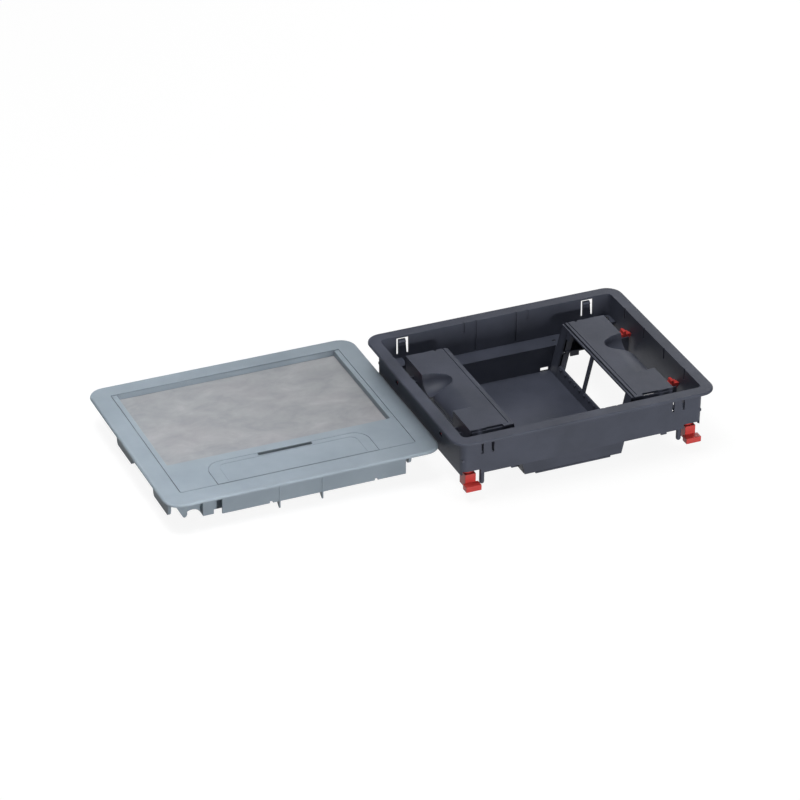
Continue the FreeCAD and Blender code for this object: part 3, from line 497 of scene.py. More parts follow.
def tongue_catch(bm, sx, sy):
    """Wedge on the inside of a spring tongue that the fitted cover snaps behind."""
    wall, tip = sy * (WALL_IN_Y - 0.1), sy * (WALL_IN_Y - 1.6)
    part = bmesh.new()
    loft(part, [[Vector((x, wall, -2.6)), Vector((x, tip, -4.0)), Vector((x, wall, -6.6))]
                for x in (sx * TONGUE_X - 4.9, sx * TONGUE_X + 3.4)])
    absorb(bm, part)


def box_body():
    bm = carve(box_shell(), shell_cutters())
    for sx in (-1, 1):
        for sy in (-1, 1):
            corner_shelf(bm, sx, sy)
            tongue_catch(bm, sx, sy)
    for sy in (-1, 1):
        near, wall = sy * (PIT_Y + 4), sy * (WALL_IN_Y + 0.5)
        for x in (-GUSSET_X, GUSSET_X):
            bar(bm, [(near, GUSSET_TOP), (wall, GUSSET_TOP), (wall, WALL_FOOT + 1)], "x", x - 1, x + 1, 0.15)
    out = WALL_IN_Y + WALL_THICK - WALL_DRAFT
    block(bm, LUG_FROM, LUG_TO, -out, -out + LUG_THICK, WALL_FOOT - LUG_DROP, WALL_FOOT + 1, 0.6)
    block(bm, -LUG_TO, -LUG_FROM, out - LUG_THICK, out, WALL_FOOT - LUG_DROP, WALL_FOOT + 1, 0.6)
    return bm


piece("box_shell", box_body(), anthracite, "floor_box", ["box_body"])


# Pit tray

def face_x(z):
    """Half distance between the inclined device faces at a height."""
    return FACE_FOOT + FACE_LEAN * (z - TRAY_FOOT)


def lean_outline(inset, z0, z1):
    """Outline, as (x, z), between the two inclined faces."""
    low, high = face_x(z0) - inset, face_x(z1) - inset
    return [(-low, z0), (low, z0), (high, z1), (-high, z1)]


def tray_ledge(bm, sy):
    """Ledge at the front or back: screw holes, arms beside the faces, and hooks under the arms."""
    under = LEDGE_TOP - LEDGE_THICK
    y0, y1 = span(sy, PIT_Y, WALL_IN_Y - WALL_DRAFT - 0.1)
    ledge, holes = bmesh.new(), bmesh.new()
    block(ledge, -LEDGE_X, LEDGE_X, y0, y1, under, LEDGE_TOP)
    for sx in (-1, 1):
        wide = LEDGE_SCREW_R + 0.4
        hole = [(LEDGE_SCREW_R, under - 1), (LEDGE_SCREW_R, LEDGE_TOP - 0.3), (wide, LEDGE_TOP + 0.2),
                (wide, 0)]
        turned(holes, sx * LEDGE_SCREW_X, sy * LEDGE_SCREW_Y, hole)
        x0, x1 = span(sx, face_x(LEDGE_TOP) + FACE_THICK + 1, LEDGE_X)
        y0, y1 = span(sy, 70, PIT_Y + 1)
        block(ledge, x0, x1, y0, y1, under, LEDGE_TOP - 0.02)
        x0, x1 = span(sx, 71.65, 82.0)
        y0, y1 = span(sy, 70.05, 72.2)
        block(bm, x0, x1, y0, y1, under - 4.8, under + 1)
    absorb(bm, carve(ledge, holes))


def tray_wall(bm, sy):
    """Wall between ledge and pit floor, with a skid under it; the back one has the drain slot."""
    y0, y1 = span(sy, PIT_Y + 0.06, PIT_Y + TRAY_WALL)
    wall = bmesh.new()
    bar(wall, lean_outline(-2.0, TRAY_FOOT + 2, LEDGE_TOP - 0.8), "y", y0, y1, 0.1)
    if sy > 0:
        drain = bmesh.new()
        block(drain, DRAIN_FROM, DRAIN_TO, y0 - 1, y1 + 1, PIT_FLOOR, PIT_FLOOR + DRAIN_HIGH, 0.2)
        wall = carve(wall, drain)
    absorb(bm, wall)
    block(bm, -SKID_X, SKID_X, y0, y1, TRAY_FOOT, TRAY_FOOT + 3, 0.5)


def pit_tray():
    bm = bmesh.new()
    for sy in (-1, 1):
        tray_ledge(bm, sy)
        tray_wall(bm, sy)
    bar(bm, lean_outline(0.1, PIT_FLOOR - TRAY_WALL, PIT_FLOOR), "y", -PIT_Y - 1, PIT_Y + 1, 0.1)
    for x in (-SKID_RIB_X, SKID_RIB_X):
        block(bm, x - 1.1, x + 1.1, -PIT_Y, PIT_Y, TRAY_FOOT + 2, PIT_FLOOR - 2)
    block(bm, -SKID_X, SKID_X, -1.1, 1.1, TRAY_FOOT + 2, PIT_FLOOR - 2)
    return bm


piece("socket_pit_tray", pit_tray(), anthracite, "floor_box", ["pit_tray"])


# Device frames, drawn on the right

def face_bar(bm, y0, y1, z0, z1, depth=FACE_THICK, lead=0.0, soft=PLASTIC_EDGE):
    """Bar along the inclined face, from a lead before it to a depth behind it."""
    low, high = face_x(z0), face_x(z1)
    bar(bm, [(low - lead, z0), (low + depth, z0), (high + depth, z1), (high - lead, z1)], "y", y0, y1, soft)


def latch_teeth():
    """Row of latch teeth along the sill, repeated by Geometry Nodes."""
    tree, given = node_group("latch teeth", {"Count": 12, "Length": 130.0, "Width": 4.0, "Height": 2.0,
                                             "Reach": 2.4})
    ends = []
    for share in (-0.5, 0.5):
        part = add(tree, "ShaderNodeMath", {0: given["Length"], 1: share}, operation="MULTIPLY")
        ends.append(add(tree, "ShaderNodeCombineXYZ", {"Y": part.outputs["Value"]}).outputs["Vector"])
    line = add(tree, "GeometryNodeMeshLine", {"Count": given["Count"], "Start Location": ends[0],
                                              "Offset": ends[1]}, mode="END_POINTS")
    block_row(tree, line, given["Reach"], given["Width"], given["Height"], anthracite)
    return tree


def support_wall(bm, y0, y1, z0, z1):
    """Piece of the device frame's outer wall."""
    block(bm, SUPPORT_OUT - SUPPORT_WALL, SUPPORT_OUT, y0, y1, z0, z1)


def bowl_filler(bm):
    """Top of the outer wall under the finger bowl, which follows the bowl's underside."""
    start, end, foot, steps = 8.5, 40.85, -26.6, 12
    outline = [(start - 1.2, foot), (start - 1.2, -22.5)]
    for i in range(steps + 1):
        y = start + (end - start) * i / steps
        depth = BOWL_DEPTH * math.sqrt(max(0.0, 1 - ((y - BOWL_Y) / (BOWL_REACH_Y + 0.6)) ** 2))
        outline.append((y, LID_TOP - depth - LID_THICK - 0.4))
    bar(bm, outline + [(end, foot)], "x", SUPPORT_OUT - SUPPORT_WALL, SUPPORT_OUT, 0)


def lock_guide(bm, y):
    """Shelf, two cheeks and a web that hold a slide lock between frame and box wall."""
    x0, x1 = SUPPORT_OUT - 1, WALL_IN_X - 4
    block(bm, x0, x1, y - LOCK_GUIDE_OUT, y + LOCK_GUIDE_OUT, LOCK_TOP - 7.95, LOCK_TOP - 6.35)
    block(bm, x0, x1, y - LOCK_GUIDE_OUT, y - LOCK_GUIDE_IN, -40, LOCK_TOP - 7)
    for side in (-1, 1):
        y0, y1 = sorted((y + side * LOCK_GUIDE_IN, y + side * LOCK_GUIDE_OUT))
        block(bm, x0, x1, y0, y1, LOCK_TOP - 7, LOCK_TOP - 3)


def device_frame():
    bm = bmesh.new()
    top = LID_TOP - LID_THICK - 0.35
    foot = TRAY_FOOT + 2
    ledge = LEDGE_TOP + 0.1
    plate = bmesh.new()
    face_bar(plate, -SUPPORT_Y, SUPPORT_Y, foot, top)
    face_bar(plate, -PIT_Y + 0.1, PIT_Y - 0.1, foot + 0.1, LEDGE_TOP - 0.05, FACE_THICK - 0.05, -0.05, 0.1)
    windows = bmesh.new()
    for y0, y1 in ((-WINDOW_Y, DIVIDER[0]), (DIVIDER[1], WINDOW_Y)):
        face_bar(windows, y0, y1, SILL, WINDOW_TOP + 3, 12, 6, 0)
    absorb(bm, carve(plate, windows))
    block(bm, face_x(top), LID_IN - 0.35, -SUPPORT_Y, SUPPORT_Y, top - 1, LID_TOP - 1.5)
    for sy in (-1, 1):
        y0, y1 = span(sy, WINDOW_Y, WINDOW_Y + SUPPORT_WALL)
        face_bar(bm, y0, y1, ledge, top, JAMB_DEPTH)
        face_bar(bm, y0, y1, foot, LEDGE_TOP - LEDGE_THICK - 0.1, JAMB_DEPTH)
        y0, y1 = span(sy, SUPPORT_Y - SUPPORT_WALL, SUPPORT_Y)
        cheek = [(face_x(ledge), ledge), (SUPPORT_OUT, ledge), (SUPPORT_OUT, top), (face_x(top), top)]
        bar(bm, cheek, "y", y0, y1)
    face_bar(bm, WINDOW_Y - 8, WINDOW_Y + 0.5, top - 9, top, 1.6, 0.0, 0.2)
    support_wall(bm, -SUPPORT_Y, -40.6, ledge, top)
    support_wall(bm, 40.85, SUPPORT_Y, ledge, top)
    support_wall(bm, -44, 7.4, -35.9, -22.5)
    support_wall(bm, -68.9, 68.9, -36.0, -26.4)
    bowl_filler(bm)
    count = 12
    row = {"Count": count, "Length": 2 * WINDOW_Y * (count - 1) / count, "Width": 4.0, "Height": 2.0,
           "Reach": 2.6}
    absorb(bm, shifted(grown(teeth_tree, row), Vector((face_x(SILL - 2) + 0.3, 0, SILL - 2))))
    for y in (-LOCK_Y, LOCK_Y):
        lock_guide(bm, y)
    return bm


teeth_tree = latch_teeth()
right_frame = device_frame()
left_frame = flipped(right_frame, x=-1)
piece("right_module_frame", right_frame, anthracite, "floor_box", ["right_device_frame"])
piece("left_module_frame", left_frame, anthracite, "floor_box", ["left_device_frame"])


# Chamber covers: a height field with a rolled-off channel and a finger bowl

def spaced(low, high, step, extra):
    """Grid lines from low to high, with extra lines where the surface turns sharply."""
    count = max(1, round((high - low) / step))
    lines = [low + (high - low) * i / count for i in range(count + 1)]
    lines = [v for v in lines if all(abs(v - e) > 0.25 for e in extra)]
    return sorted(lines + extra)


def blend_min(a, b, width):
    """Smaller of two heights, rounded where they meet."""
    mix = max(0.0, min(1.0, 0.5 + (b - a) / (2 * width)))
    return b + (a - b) * mix - width * mix * (1 - mix)


def chamber_top(x, y):
    """Height of the cover's upper face. The 0.9998 keeps the roll-off's slope finite at its outer edge."""
    height = LID_TOP
    if CHANNEL_FRONT < y < BOWL_Y:
        t = max(0.0, min(1.0, (x - CHANNEL_START) / (LID_OUT - CHANNEL_START)))
        height = LID_TOP - CHANNEL_DROP * (1 - math.sqrt(1 - 0.9998 * t * t))
    reach = 1 - ((x - LID_OUT) / BOWL_REACH_X) ** 2 - ((y - BOWL_Y) / BOWL_REACH_Y) ** 2
    if reach > 0:
        height = blend_min(height, LID_TOP - BOWL_DEPTH * math.sqrt(reach), 0.8)
    if SEAM_FROM < x < SEAM_TO:
        height -= SEAM_DEPTH
    edge = min(x - LID_IN, LID_Y - abs(y))
    if not CHANNEL_FRONT < y < BOWL_Y + 17:
        edge = min(edge, LID_OUT - x)
    if edge < 0.5:
        height -= PLASTIC_EDGE * (1 - edge / 0.5) ** 2
    return height


def chamber_cover():
    xs = spaced(LID_IN, LID_OUT, 1.0, [LID_IN + 0.25, LID_IN + 0.5, SEAM_FROM - 0.05, SEAM_FROM + 0.05,
                                       SEAM_TO - 0.05, SEAM_TO + 0.05,
                                       LID_OUT - 0.8, LID_OUT - 0.4, LID_OUT - 0.15])
    ys = spaced(-LID_Y, LID_Y, 1.0, [-LID_Y + 0.25, -LID_Y + 0.5, CHANNEL_FRONT - 0.35, CHANNEL_FRONT + 0.01,
                                     BOWL_Y, LID_Y - 0.5, LID_Y - 0.25])
    bm = bmesh.new()
    top, low = [[[bm.verts.new((x, y, chamber_top(x, y) - drop)) for y in ys] for x in xs]
                for drop in (0.0, LID_THICK)]
    nx, ny = len(xs), len(ys)
    for layer in (top, low):
        for i in range(nx - 1):
            for j in range(ny - 1):
                bm.faces.new((layer[i][j], layer[i + 1][j], layer[i + 1][j + 1], layer[i][j + 1]))
    for i in range(nx - 1):
        for j in (0, ny - 1):
            bm.faces.new((top[i][j], top[i + 1][j], low[i + 1][j], low[i][j]))
    for j in range(ny - 1):
        for i in (0, nx - 1):
            bm.faces.new((top[i][j], top[i][j + 1], low[i][j + 1], low[i][j]))
    notches = bmesh.new()
    for x0, x1, y0, y1 in ((LIP_END, 99, -LID_Y - 2, -LID_Y + 0.9), (82, 85, LID_Y - 2.5, LID_Y + 2),
                           (91, 99, LID_Y - 0.9, LID_Y + 2)):
        block(notches, x0, x1, y0, y1, -30, 0, 0.3)
    cover = carve(bm, notches)
    block(cover, LID_IN, LIP_END, -LID_Y - 3.3, -LID_Y + 1, LID_TOP - LID_THICK, LID_TOP - 0.02)
    return cover


right_cover = chamber_cover()
left_cover = flipped(right_cover, x=-1)
piece("right_chamber_cover", right_cover, anthracite, "right_cover", ["right_top_cover"],
      50)
piece("left_chamber_cover", left_cover, anthracite, "left_cover", ["left_top_cover"], 50)


# Slide locks and corner clamps, drawn at the back right

def slide_lock():
    """Slider with a nose in the box wall's slot and a grip on top."""
    bm = bmesh.new()
    half = 4.3
    block(bm, 124, 134.5, LOCK_Y - half, LOCK_Y + half, LOCK_TOP - 6, LOCK_TOP, 0.5)
    block(bm, 133.5, 137.3, LOCK_Y - 3, LOCK_Y + 3, LOCK_TOP - 4.8, LOCK_TOP - 1.2, 0.5)
    block(bm, 126, 130, LOCK_Y - half, LOCK_Y + half, LOCK_TOP - 1, LOCK_TOP + 4, 1.4)
    return bm


def collar(bm, inner, outer, low, high, corner=0.5):
    """Ring about the clamp's axis, rounded on its upper edges."""
    profile = [(inner, low), (inner, high - 0.2), (inner + 0.2, high), (outer - corner, high),
               (outer, high - corner), (outer, low)]
    turned(bm, CLAMP_X, CLAMP_Y, profile, hollow=True)


def clamp_claw():
    """Body that the bush carries, a foot that reaches out under the floor panel, and a collar on top."""
    bm = bmesh.new()
    x, y, foot, half = CLAMP_X, CLAMP_Y, -59.5, 6.1
    block(bm, x - half, x + half, y - 5.6, y + 9.2, foot, -43.5, 0.7)
    block(bm, x - 8.7, x + 8.7, y + 8.8, y + 18.3, foot, -53.1, 0.7)
    bores = bmesh.new()
    for radius, low, high in ((BUSH_R + 0.05, -55.6, -35), (BUSH_HEAD_R + 0.05, foot - 2.5, -54.65)):
        turned(bores, x, y, [(radius, low), (radius, high)])
    carve(bm, bores)
    collar(bm, BUSH_R + 0.05, half, -44.5, -40.9)
    return bm


def clamp_bush():
    """Bush with a wider head at its foot, which carries the claw."""
    bm = bmesh.new()
    collar(bm, BUSH_BORE_R, BUSH_R, -54.9, -47.1)
    collar(bm, BUSH_BORE_R, BUSH_HEAD_R, -56.1, -54.7)
    return bm


def screw_thread():
    """Thread that follows a helix down the shank, swept by Geometry Nodes."""
    tree, given = node_group("screw thread", {"Turns": 36.0, "Radius": 2.2, "Length": 29.0, "Ridge": 0.3})
    helix = add(tree, "GeometryNodeCurveSpiral", {"Resolution": 16, "Rotations": given["Turns"],
                                                  "Start Radius": given["Radius"],
                                                  "End Radius": given["Radius"], "Height": given["Length"]})
    ridge = add(tree, "GeometryNodeCurvePrimitiveCircle", {"Resolution": 4, "Radius": given["Ridge"]})
    swept = add(tree, "GeometryNodeCurveToMesh", {"Curve": helix.outputs["Curve"],
                                                  "Profile Curve": ridge.outputs["Curve"], "Fill Caps": True})
    give_out(tree, swept.outputs["Mesh"], zinc)
    return tree


def clamp_screw(thread):
    """Pan head with a cross recess, on a threaded shank."""
    bm = bmesh.new()
    x, y, shank = CLAMP_X, CLAMP_Y, 2.2
    head, cross = bmesh.new(), bmesh.new()
    turned(head, x, y, [(4.3, -23.4), (4.5, -23.1), (4.5, -21.6), (4.2, -20.9), (3.5, -20.5), (2.4, -20.4)])
    for long, short in ((2.8, 0.6), (0.6, 2.8)):
        block(cross, x - long, x + long, y - short, y + short, -22, -19, 0.1)
    absorb(bm, carve(head, cross))
    turned(bm, x, y, [(1.5, -55.5), (shank, -54.8), (shank, -23.2)])
    absorb(bm, shifted(thread.copy(), Vector((x, y, -54.0))))
    return bm


thread = grown(screw_thread(), {"Turns": 35.0, "Radius": 2.2, "Length": 28.0, "Ridge": 0.28})
for lr, sx in (("left", -1), ("right", 1)):
    for fb, sy in (("front", -1), ("back", 1)):
        corner = fb + "_" + lr
        for title, shape, material, node, body, slot in (
                ("slide_lock_", slide_lock, red_pom, "support_lock_", "lock_", "red_plastic"),
                ("corner_claw_", clamp_claw, red_pom, "clamp_claw_", "claw_", "red_plastic"),
                ("threaded_bush_", clamp_bush, brass, "clamp_bush_", "bush_", "brass")):
            piece(title + corner, flipped(shape(), sx, sy), material, body + corner, [node + corner])
        piece("clamping_screw_" + corner, flipped(clamp_screw(thread), sx, sy), zinc, "screw_" + corner,
              ["clamp_screw_" + corner], 60)


# Cover frame

def opening_row(grow, z):
    """Edge of the frame's opening at a height, some distance out from the lid."""
    return ring(-PANEL_X - grow, PANEL_X + grow, PANEL_FRONT - grow, PANEL_BACK + grow, 2.5 + grow, z)


def hinge_bores(bm, radius, near, far):
    """Cutters for the bores of the two hinge pins."""
    for sx in (-1, 1):
        x0, x1 = span(sx, near, far)
        bar(bm, circle(HINGE_Y, HINGE_Z, radius), "x", x0, x1, 0)


def frame_hoop():
    """Border and the wall round the opening as one hoop, cut for the hinge."""
    border = ((0.15, -FRAME_THICK), (0.0, -2.8), (0.0, -1.9), (0.25, -1.1), (0.8, -0.45), (1.6, -0.1),
              (2.5, 0.0))
    rows = [ring(-FRAME_X + i, FRAME_X - i, -FRAME_Y + i, FRAME_Y - i, FRAME_R - i, z) for i, z in border]
    wall = ((0.8, 0.0), (0.58, -0.08), (0.5, -0.3), (0.5, -13.8), (0.7, -14.0), (2.4, -14.0), (2.6, -13.8),
            (2.6, -FRAME_THICK))
    rows += [opening_row(grow, z) for grow, z in wall]
    hoop, cuts = bmesh.new(), bmesh.new()
    loft(hoop, rows, closed=True)
    hinge_bores(cuts, PIN_R + 0.03, PANEL_X - 1, PANEL_X + 6.2)
    block(cuts, -PANEL_X - 0.5, PANEL_X + 0.5, HINGE_Y, PANEL_BACK + 0.5, LID_SHELF, 3, 0)
    return carve(hoop, cuts)


def skirts(bm):
    """Front and back skirt with their guide ribs and latch fins."""
    skirt, slots = bmesh.new(), bmesh.new()
    block(skirt, SKIRT_LEFT, SKIRT_RIGHT, -SKIRT_Y, -SKIRT_Y + 2, SKIRT_FOOT, FRAME_ROOT)
    for x in (-33, 84):
        block(slots, x - 1.7, x + 1.7, -SKIRT_Y - 2, -SKIRT_Y + 4, SKIRT_FOOT - 2, SKIRT_FOOT + 2.4, 0.2)
    absorb(bm, carve(skirt, slots))
    block(bm, SKIRT_LEFT, SKIRT_RIGHT, SKIRT_Y - 2, SKIRT_Y, SKIRT_FOOT, FRAME_ROOT)
    for face in (-1, 1):
        y, tip, lead = face * SKIRT_Y, face * (SKIRT_Y - 13), face * (SKIRT_Y - 1.5)
        fin = [(y, SKIRT_FOOT + 1), (tip, SKIRT_FOOT + 1), (tip, SKIRT_FOOT), (lead, WING_FOOT),
               (y, WING_FOOT)]
        y0, y1 = span(face, SKIRT_Y - 1, SKIRT_Y + 0.7)
        for x in (-GUIDE_X, GUIDE_X):
            bar(bm, fin, "x", x - 0.8, x + 0.8, 0.2)
            block(bm, x - 0.8, x + 0.8, y0, y1, SKIRT_FOOT, FRAME_ROOT, 0.2)


def side_tabs(bm):
    """Two tabs on each side, rounded at the foot, which the cover stands on."""
    for sx in (-1, 1):
        x0, x1 = span(sx, TAB_IN, TAB_OUT)
        for y0, y1 in ((28.5, 77.0), (-81.0, -35.0)):
            tab = [(y0, FRAME_ROOT), (y1, FRAME_ROOT), (y1, WING_FOOT + 6), (y1 - 1, WING_FOOT + 2.5),
                   (y1 - 3.4, WING_FOOT), (y0 + 3.4, WING_FOOT), (y0 + 1, WING_FOOT + 2.5),
                   (y0, WING_FOOT + 6)]
            bar(bm, tab, "x", x0, x1, 0.5)


def corner_leg(bm):
    """Front left corner: a leg beside the skirt, an arched web, a plate behind it and a hook at the side."""
    block(bm, LEG_RIGHT - 1, LEG_RIGHT + 11, LEG_FRONT, LEG_BACK, SKIRT_FOOT, FRAME_ROOT, 0.5)
    arch = [(LEG_LEFT, FRAME_ROOT), (LEG_LEFT, -29)]
    for i in range(1, 12):
        turn = math.pi * i / 12
        arch.append((-116.5 - 7.5 * math.cos(turn), -30.5 + 4.5 * math.sin(turn)))
    arch += [(LEG_RIGHT, -30), (LEG_RIGHT, FRAME_ROOT)]
    bar(bm, arch, "y", -100, LEG_BACK, 0.2)
    block(bm, -96, -76, -98, -96, SKIRT_FOOT, FRAME_ROOT)
    hook = [(-135.5, FRAME_ROOT), (-124, FRAME_ROOT), (-124, -27), (-125.4, -29.4), (LEG_LEFT, -30),
            (-128.6, -29.2), (-135.5, -16)]
    bar(bm, hook, "y", LEG_FRONT, LEG_BACK, 0.4)


def cover_frame():
    bm = frame_hoop()
    for x0, x1 in ((-PANEL_X - 1, -PANEL_X + 5), (PANEL_X - 5, PANEL_X + 1)):
        block(bm, x0, x1, PANEL_FRONT - 1, SHELF_BACK, SHELF_UNDER, LID_SHELF)
    block(bm, -PANEL_X + 4, PANEL_X - 4, PANEL_FRONT - 1, PANEL_FRONT + 5, SHELF_UNDER, LID_SHELF)
    skirts(bm)
    side_tabs(bm)
    block(bm, SKIRT_RIGHT - 2, SKIRT_RIGHT, -SKIRT_Y + 1, -97, SKIRT_FOOT, FRAME_ROOT)
    corner_leg(bm)
    return shifted(bm, COVER_AT)


piece("cover_surround", cover_frame(), blue_grey, "floor_box", ["cover_frame"])


def hinge_pins():
    """Two pins across the gap between lid and frame, chamfered at both ends."""
    bm = bmesh.new()
    for sx in (-1, 1):
        x0, x1 = span(sx, 125.5, 135.5)
        ends = ((x0, PIN_R - 0.3), (x0 + 0.3, PIN_R), (x1 - 0.3, PIN_R), (x1, PIN_R - 0.3))
        loft(bm, [[Vector((x, y, z)) for y, z in circle(HINGE_Y, HINGE_Z, r)] for x, r in ends])
    return shifted(bm, COVER_AT)


piece("hinge_pins", hinge_pins(), zinc, "floor_box", ["lid_hinge_pins"])


def seal_strip():
    """Strip along the front and both sides of the lid's shelf."""
    bm = bmesh.new()
    for x0, x1 in ((-PANEL_X, -126.4), (126.4, PANEL_X)):
        block(bm, x0, x1, PANEL_FRONT, SHELF_BACK, LID_SHELF, SEAL_TOP, 0.5)
    block(bm, -128, 128, PANEL_FRONT, PANEL_FRONT + 3.6, LID_SHELF, SEAL_TOP, 0.5)
    return shifted(bm, COVER_AT)


piece("shelf_seal", seal_strip(), rubber, "floor_box", ["lid_seal"])


# Lid panel

def flap_ring(grow, z):
    """Outline of the cable flap at a height, run on past the lid's front edge."""
    return ring(-FLAP_X - grow, FLAP_X + grow, -200.0, FLAP_BACK + grow, FLAP_R + grow, z, 14)


def lid_cutters():
    """Recess for the floor covering, opening for the flap, and what the hinge needs at the back edge."""
    cuts = bmesh.new()
    loft(cuts, [ring(-RECESS_X - g, RECESS_X + g, RECESS_FRONT - g, RECESS_BACK + g, 0.6 + g, z)
                for g, z in ((0.0, -RECESS_DEPTH), (0.0, -0.3), (0.3, 0.0), (0.5, 0.4))])
    loft(cuts, [flap_ring(g, z) for g, z in ((0.5, -12), (0.5, -0.3), (0.75, 0.0), (0.9, 0.4))])
    block(cuts, -PANEL_X + 2, PANEL_X - 2, PANEL_FRONT + 2, RECESS_FRONT - 3, -12, -3, 0.4)
    turns = [math.pi / 2 * i / 8 for i in range(9)]
    round_back = [(HINGE_Y + 2.5 * math.sin(turn), HINGE_Z + 2.5 * math.cos(turn)) for turn in turns]
    bar(cuts, round_back + [(HINGE_Y + 7, HINGE_Z), (HINGE_Y + 7, 3), (HINGE_Y, 3)], "x", -140, 140, 0)
    hinge_bores(cuts, PIN_R + 0.05, 125.0, 135.0)
    return cuts


def lid_panel():
    slab = bmesh.new()
    edge = ((0.25, -9.0), (0.0, -8.75), (0.0, -0.35), (0.1, -0.1), (0.35, 0.0))
    loft(slab, [ring(-PANEL_X + i, PANEL_X - i, PANEL_FRONT + i, PANEL_BACK - i, 2.5 - i, z) for i, z in edge])
    bm = carve(slab, lid_cutters())
    wall, gap = bmesh.new(), bmesh.new()
    loft(wall, [flap_ring(2.5, -7), flap_ring(2.5, -2)])
    loft(gap, [flap_ring(0.5, -9), flap_ring(0.5, 2)])
    block(gap, -120, 120, -220, PANEL_FRONT, -12, 2, 0)
    absorb(bm, carve(wall, gap))
    return bm


def underside_ribs():
    """Row of stiffening ribs under the lid, laid out by Geometry Nodes."""
    tree, given = node_group("underside ribs", {"Count": 5, "Pitch": 47.9, "Rib Length": 139.0,
                                                "Rib Width": RIB_WIDTH, "Rib Height": RIB_HEIGHT})
    step = add(tree, "ShaderNodeCombineXYZ", {"X": given["Pitch"]})
    line = add(tree, "GeometryNodeMeshLine", {"Count": given["Count"], "Offset": step.outputs["Vector"]},
               mode="OFFSET")
    block_row(tree, line, given["Rib Width"], given["Rib Length"], given["Rib Height"], blue_grey)
    return tree


def ribbed_lid():
    """Lid with five long ribs and two that cross them under the recess."""
    lid, tree, pitch = lid_panel(), underside_ribs(), RECESS_X / 2.6
    section = {"Rib Width": RIB_WIDTH, "Rib Height": RIB_HEIGHT}
    long_ribs = grown(tree, {"Count": 5, "Pitch": pitch, "Rib Length": 139.0, **section})
    absorb(lid, shifted(long_ribs, Vector((-2 * pitch, 20.5, RIB_Z))))
    cross_ribs = grown(tree, {"Count": 2, "Pitch": 45.0, "Rib Length": 232.0, **section})
    bmesh.ops.rotate(cross_ribs, matrix=Matrix.Rotation(math.pi / 2, 3, "Z"), verts=cross_ribs.verts)
    absorb(lid, shifted(cross_ribs, Vector((0, -4.0, RIB_Z))))
    return shifted(lid, COVER_AT)


piece("hinged_lid", ribbed_lid(), blue_grey, "lid", ["lid_panel"])


def floor_insert():
    """Sheet of floor covering that lies in the recess."""
    bm = bmesh.new()
    half, front, back = RECESS_X - INSERT_GAP, RECESS_FRONT + INSERT_GAP, RECESS_BACK - INSERT_GAP
    foot, top = -RECESS_DEPTH, INSERT_THICK - RECESS_DEPTH
    edge = ((0.2, foot), (0.0, foot + 0.2), (0.0, top - 0.3), (0.1, top - 0.1), (0.3, top))
    loft(bm, [ring(-half + i, half - i, front + i, back - i, 0.8, z, 3) for i, z in edge])
    return shifted(bm, COVER_AT)


piece("floor_covering_insert", floor_insert(), concrete, "lid", ["floor_insert"])


# Cable flap

def cable_flap():
    """Flap with a fine groove near its edge, the cable notch at its back and a trunnion on each side."""
    slab, cuts, notch = bmesh.new(), bmesh.new(), bmesh.new()
    edge = ((0.25, -FLAP_THICK), (0.0, -2.75), (0.0, -0.35), (0.1, -0.1), (0.35, 0.0))
    loft(slab, [flap_ring(-i, z) for i, z in edge])
    block(cuts, -120, 120, -230, -103.6, -20, 10, 0)
    groove = ((0.0, 0.5), (0.0, -0.35), (0.7, -0.35), (0.7, 0.5))
    loft(cuts, [ring(-77 + g, 77 - g, -220 + g, -68 - g, 8.5 - g, z) for g, z in groove], closed=True)
    rim = ((0, -10), (0, -0.35), (0.3, 0.0), (0.5, 0.3))
    loft(notch, [ring(-30 - g, 30 + g, -66.3 - g, -50, 1.2 + g, z, 5) for g, z in rim])
    bm = carve(carve(slab, cuts), notch)
    for sx in (-1, 1):
        x0, x1 = span(sx, FLAP_X - 1, FLAP_X + 2.6)
        bar(bm, circle(TRUNNION_Y, TRUNNION_Z, TRUNNION_R, 16), "x", x0, x1, 0)
    return shifted(bm, COVER_AT)


piece("hinged_cable_flap", cable_flap(), blue_grey, "flap", ["cable_flap"])


def foam_strip():
    """Strip along the flap's underside, behind its trunnions."""
    bm = bmesh.new()
    half, front, back, foot = 78, -97, -88, -8
    block(bm, -half, half, front, back, foot, -FLAP_THICK, 0.9)
    return shifted(bm, COVER_AT)


piece("draught_foam", foam_strip(), foam, "flap", ["flap_foam"])


# Camera, matched to the corners and edges of box and cover in the photograph

camera_data = bpy.data.cameras.new("camera")
camera = bpy.data.objects.new("camera", camera_data)
bpy.context.scene.collection.objects.link(camera)
camera.location = Vector((-1530.743, -3180.577, 2018.306)) * MM
camera.rotation_euler = Euler([math.radians(a) for a in (59.69158, -0.29427, -23.14657)], "XYZ")
camera_data.sensor_width = 36.0
camera_data.lens = 172.621
camera_data.clip_end = 50.0
bpy.context.scene.camera = camera


# Floor, surroundings and soft lights, in metres

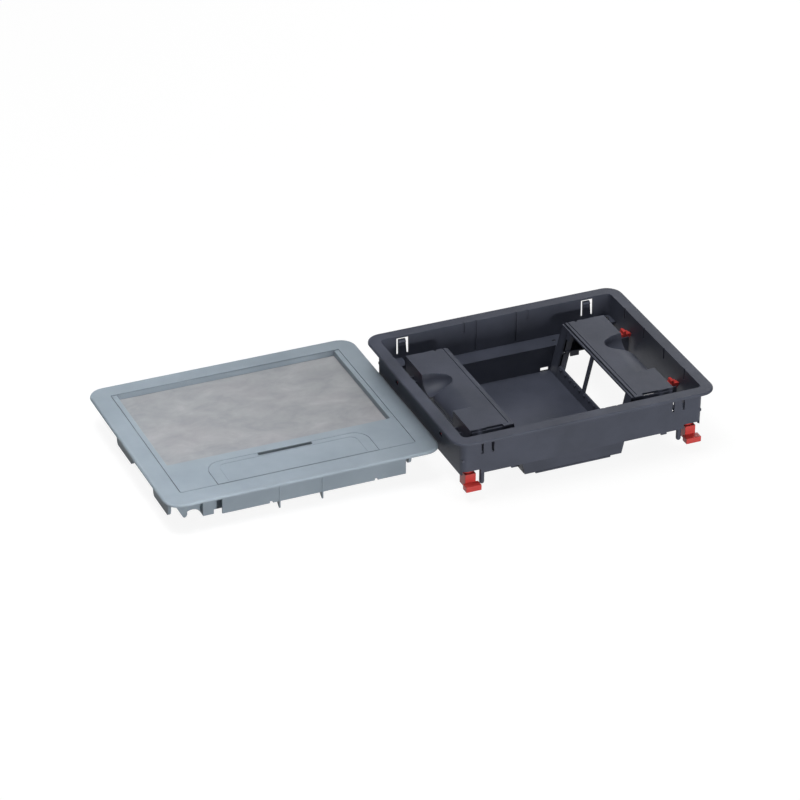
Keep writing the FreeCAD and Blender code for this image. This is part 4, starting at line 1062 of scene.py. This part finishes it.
def backdrop_material():
    """Pale floor that looks nearly white, with the object's soft shadow, to camera, glossy and transmission
    rays. Other rays see a mid grey, so it throws only a little light back at the object.
    """
    material = bpy.data.materials.new("pale studio floor")
    material.use_nodes = True
    tree = material.node_tree
    tree.nodes.clear()
    rays = add(tree, "ShaderNodeLightPath").outputs
    seen = rays["Is Camera Ray"]
    for other in ("Is Glossy Ray", "Is Transmission Ray"):
        seen = add(tree, "ShaderNodeMath", {0: seen, 1: rays[other]}, operation="MAXIMUM").outputs["Value"]
    lit = add(tree, "ShaderNodeBsdfDiffuse", {"Color": linear("#8a8b8d")})
    faint = add(tree, "ShaderNodeBsdfDiffuse", {"Color": linear("#6a6a6a")})
    glow = add(tree, "ShaderNodeEmission", {"Color": (1, 1, 1, 1), "Strength": 0.9})
    white = add(tree, "ShaderNodeAddShader", {0: faint.outputs["BSDF"], 1: glow.outputs["Emission"]})
    mix = add(tree, "ShaderNodeMixShader", {0: seen, 1: lit.outputs["BSDF"], 2: white.outputs["Shader"]})
    add(tree, "ShaderNodeOutputMaterial", {"Surface": mix.outputs["Shader"]})
    return material


def studio_floor(half=6.0, gap=0.0004):
    """Square floor a little below the tray's foot."""
    level = TRAY_FOOT * MM - gap
    mesh = bpy.data.meshes.new("studio_floor")
    corners = [(x * half, y * half, level) for x, y in ((-1, -1), (1, -1), (1, 1), (-1, 1))]
    mesh.from_pydata(corners, [], [(0, 1, 2, 3)])
    mesh.materials.append(backdrop_material())
    floor = bpy.data.objects.new("studio_floor", mesh)
    bpy.context.scene.collection.objects.link(floor)
    return floor


studio_floor()


def studio_world():
    """Faint fill that grows towards the zenith, and plain white where the camera sees past the floor."""
    world = bpy.data.worlds.new("studio")
    bpy.context.scene.world = world
    world.use_nodes = True
    tree = world.node_tree
    tree.nodes.clear()
    camera_ray = add(tree, "ShaderNodeLightPath").outputs["Is Camera Ray"]
    place = add(tree, "ShaderNodeTexCoord").outputs["Generated"]
    parts = add(tree, "ShaderNodeSeparateXYZ", {0: place}).outputs
    sky = add(tree, "ShaderNodeMapRange", {"Value": parts["Z"], "From Min": -0.1, "From Max": 0.9,
                                           "To Min": 0.01, "To Max": 0.04})
    seen = add(tree, "ShaderNodeMix", {"Factor": camera_ray, "A": sky.outputs["Result"], "B": 1.0},
               data_type="FLOAT")
    light = add(tree, "ShaderNodeBackground", {"Color": (1, 1, 1, 1), "Strength": seen.outputs["Result"]})
    add(tree, "ShaderNodeOutputWorld", {"Surface": light.outputs["Background"]})


studio_world()


def soft_lamp(name, at, size, power, aim=(-0.1, 0.0, 0.0), spread=180):
    """Square lamp of a size and power that points at a place, with its spread in degrees."""
    data = bpy.data.lights.new(name, "AREA")
    data.shape = "SQUARE"
    data.size = size
    data.energy = power
    data.spread = math.radians(spread)
    lamp = bpy.data.objects.new(name, data)
    bpy.context.scene.collection.objects.link(lamp)
    lamp.location = at
    lamp.rotation_euler = (Vector(aim) - Vector(at)).to_track_quat("-Z", "Y").to_euler()


# The two top lamps light what faces up and the low one the front walls. The front right lamp and the
# sheen, behind the object, add soft highlights, and the glow lifts the left part of the floor cover.
soft_lamp("top", (-0.3, 0.0, 2.6), 1.6, 30)
soft_lamp("top_left", (-0.9, -0.3, 2.2), 1.0, 14)
soft_lamp("low_front", (0.2, -2.9, 0.14), 0.4, 46)
soft_lamp("front_right", (1.2, -1.6, 2.2), 1.4, 10)
soft_lamp("sheen", (1.4, 1.7, 1.2), 1.0, 11)
soft_lamp("cover_glow", (-0.75, -0.5, 1.6), 0.4, 0.35, (-0.5, 0.0, -0.05), 24)

bpy.context.scene.view_settings.view_transform = "Standard"
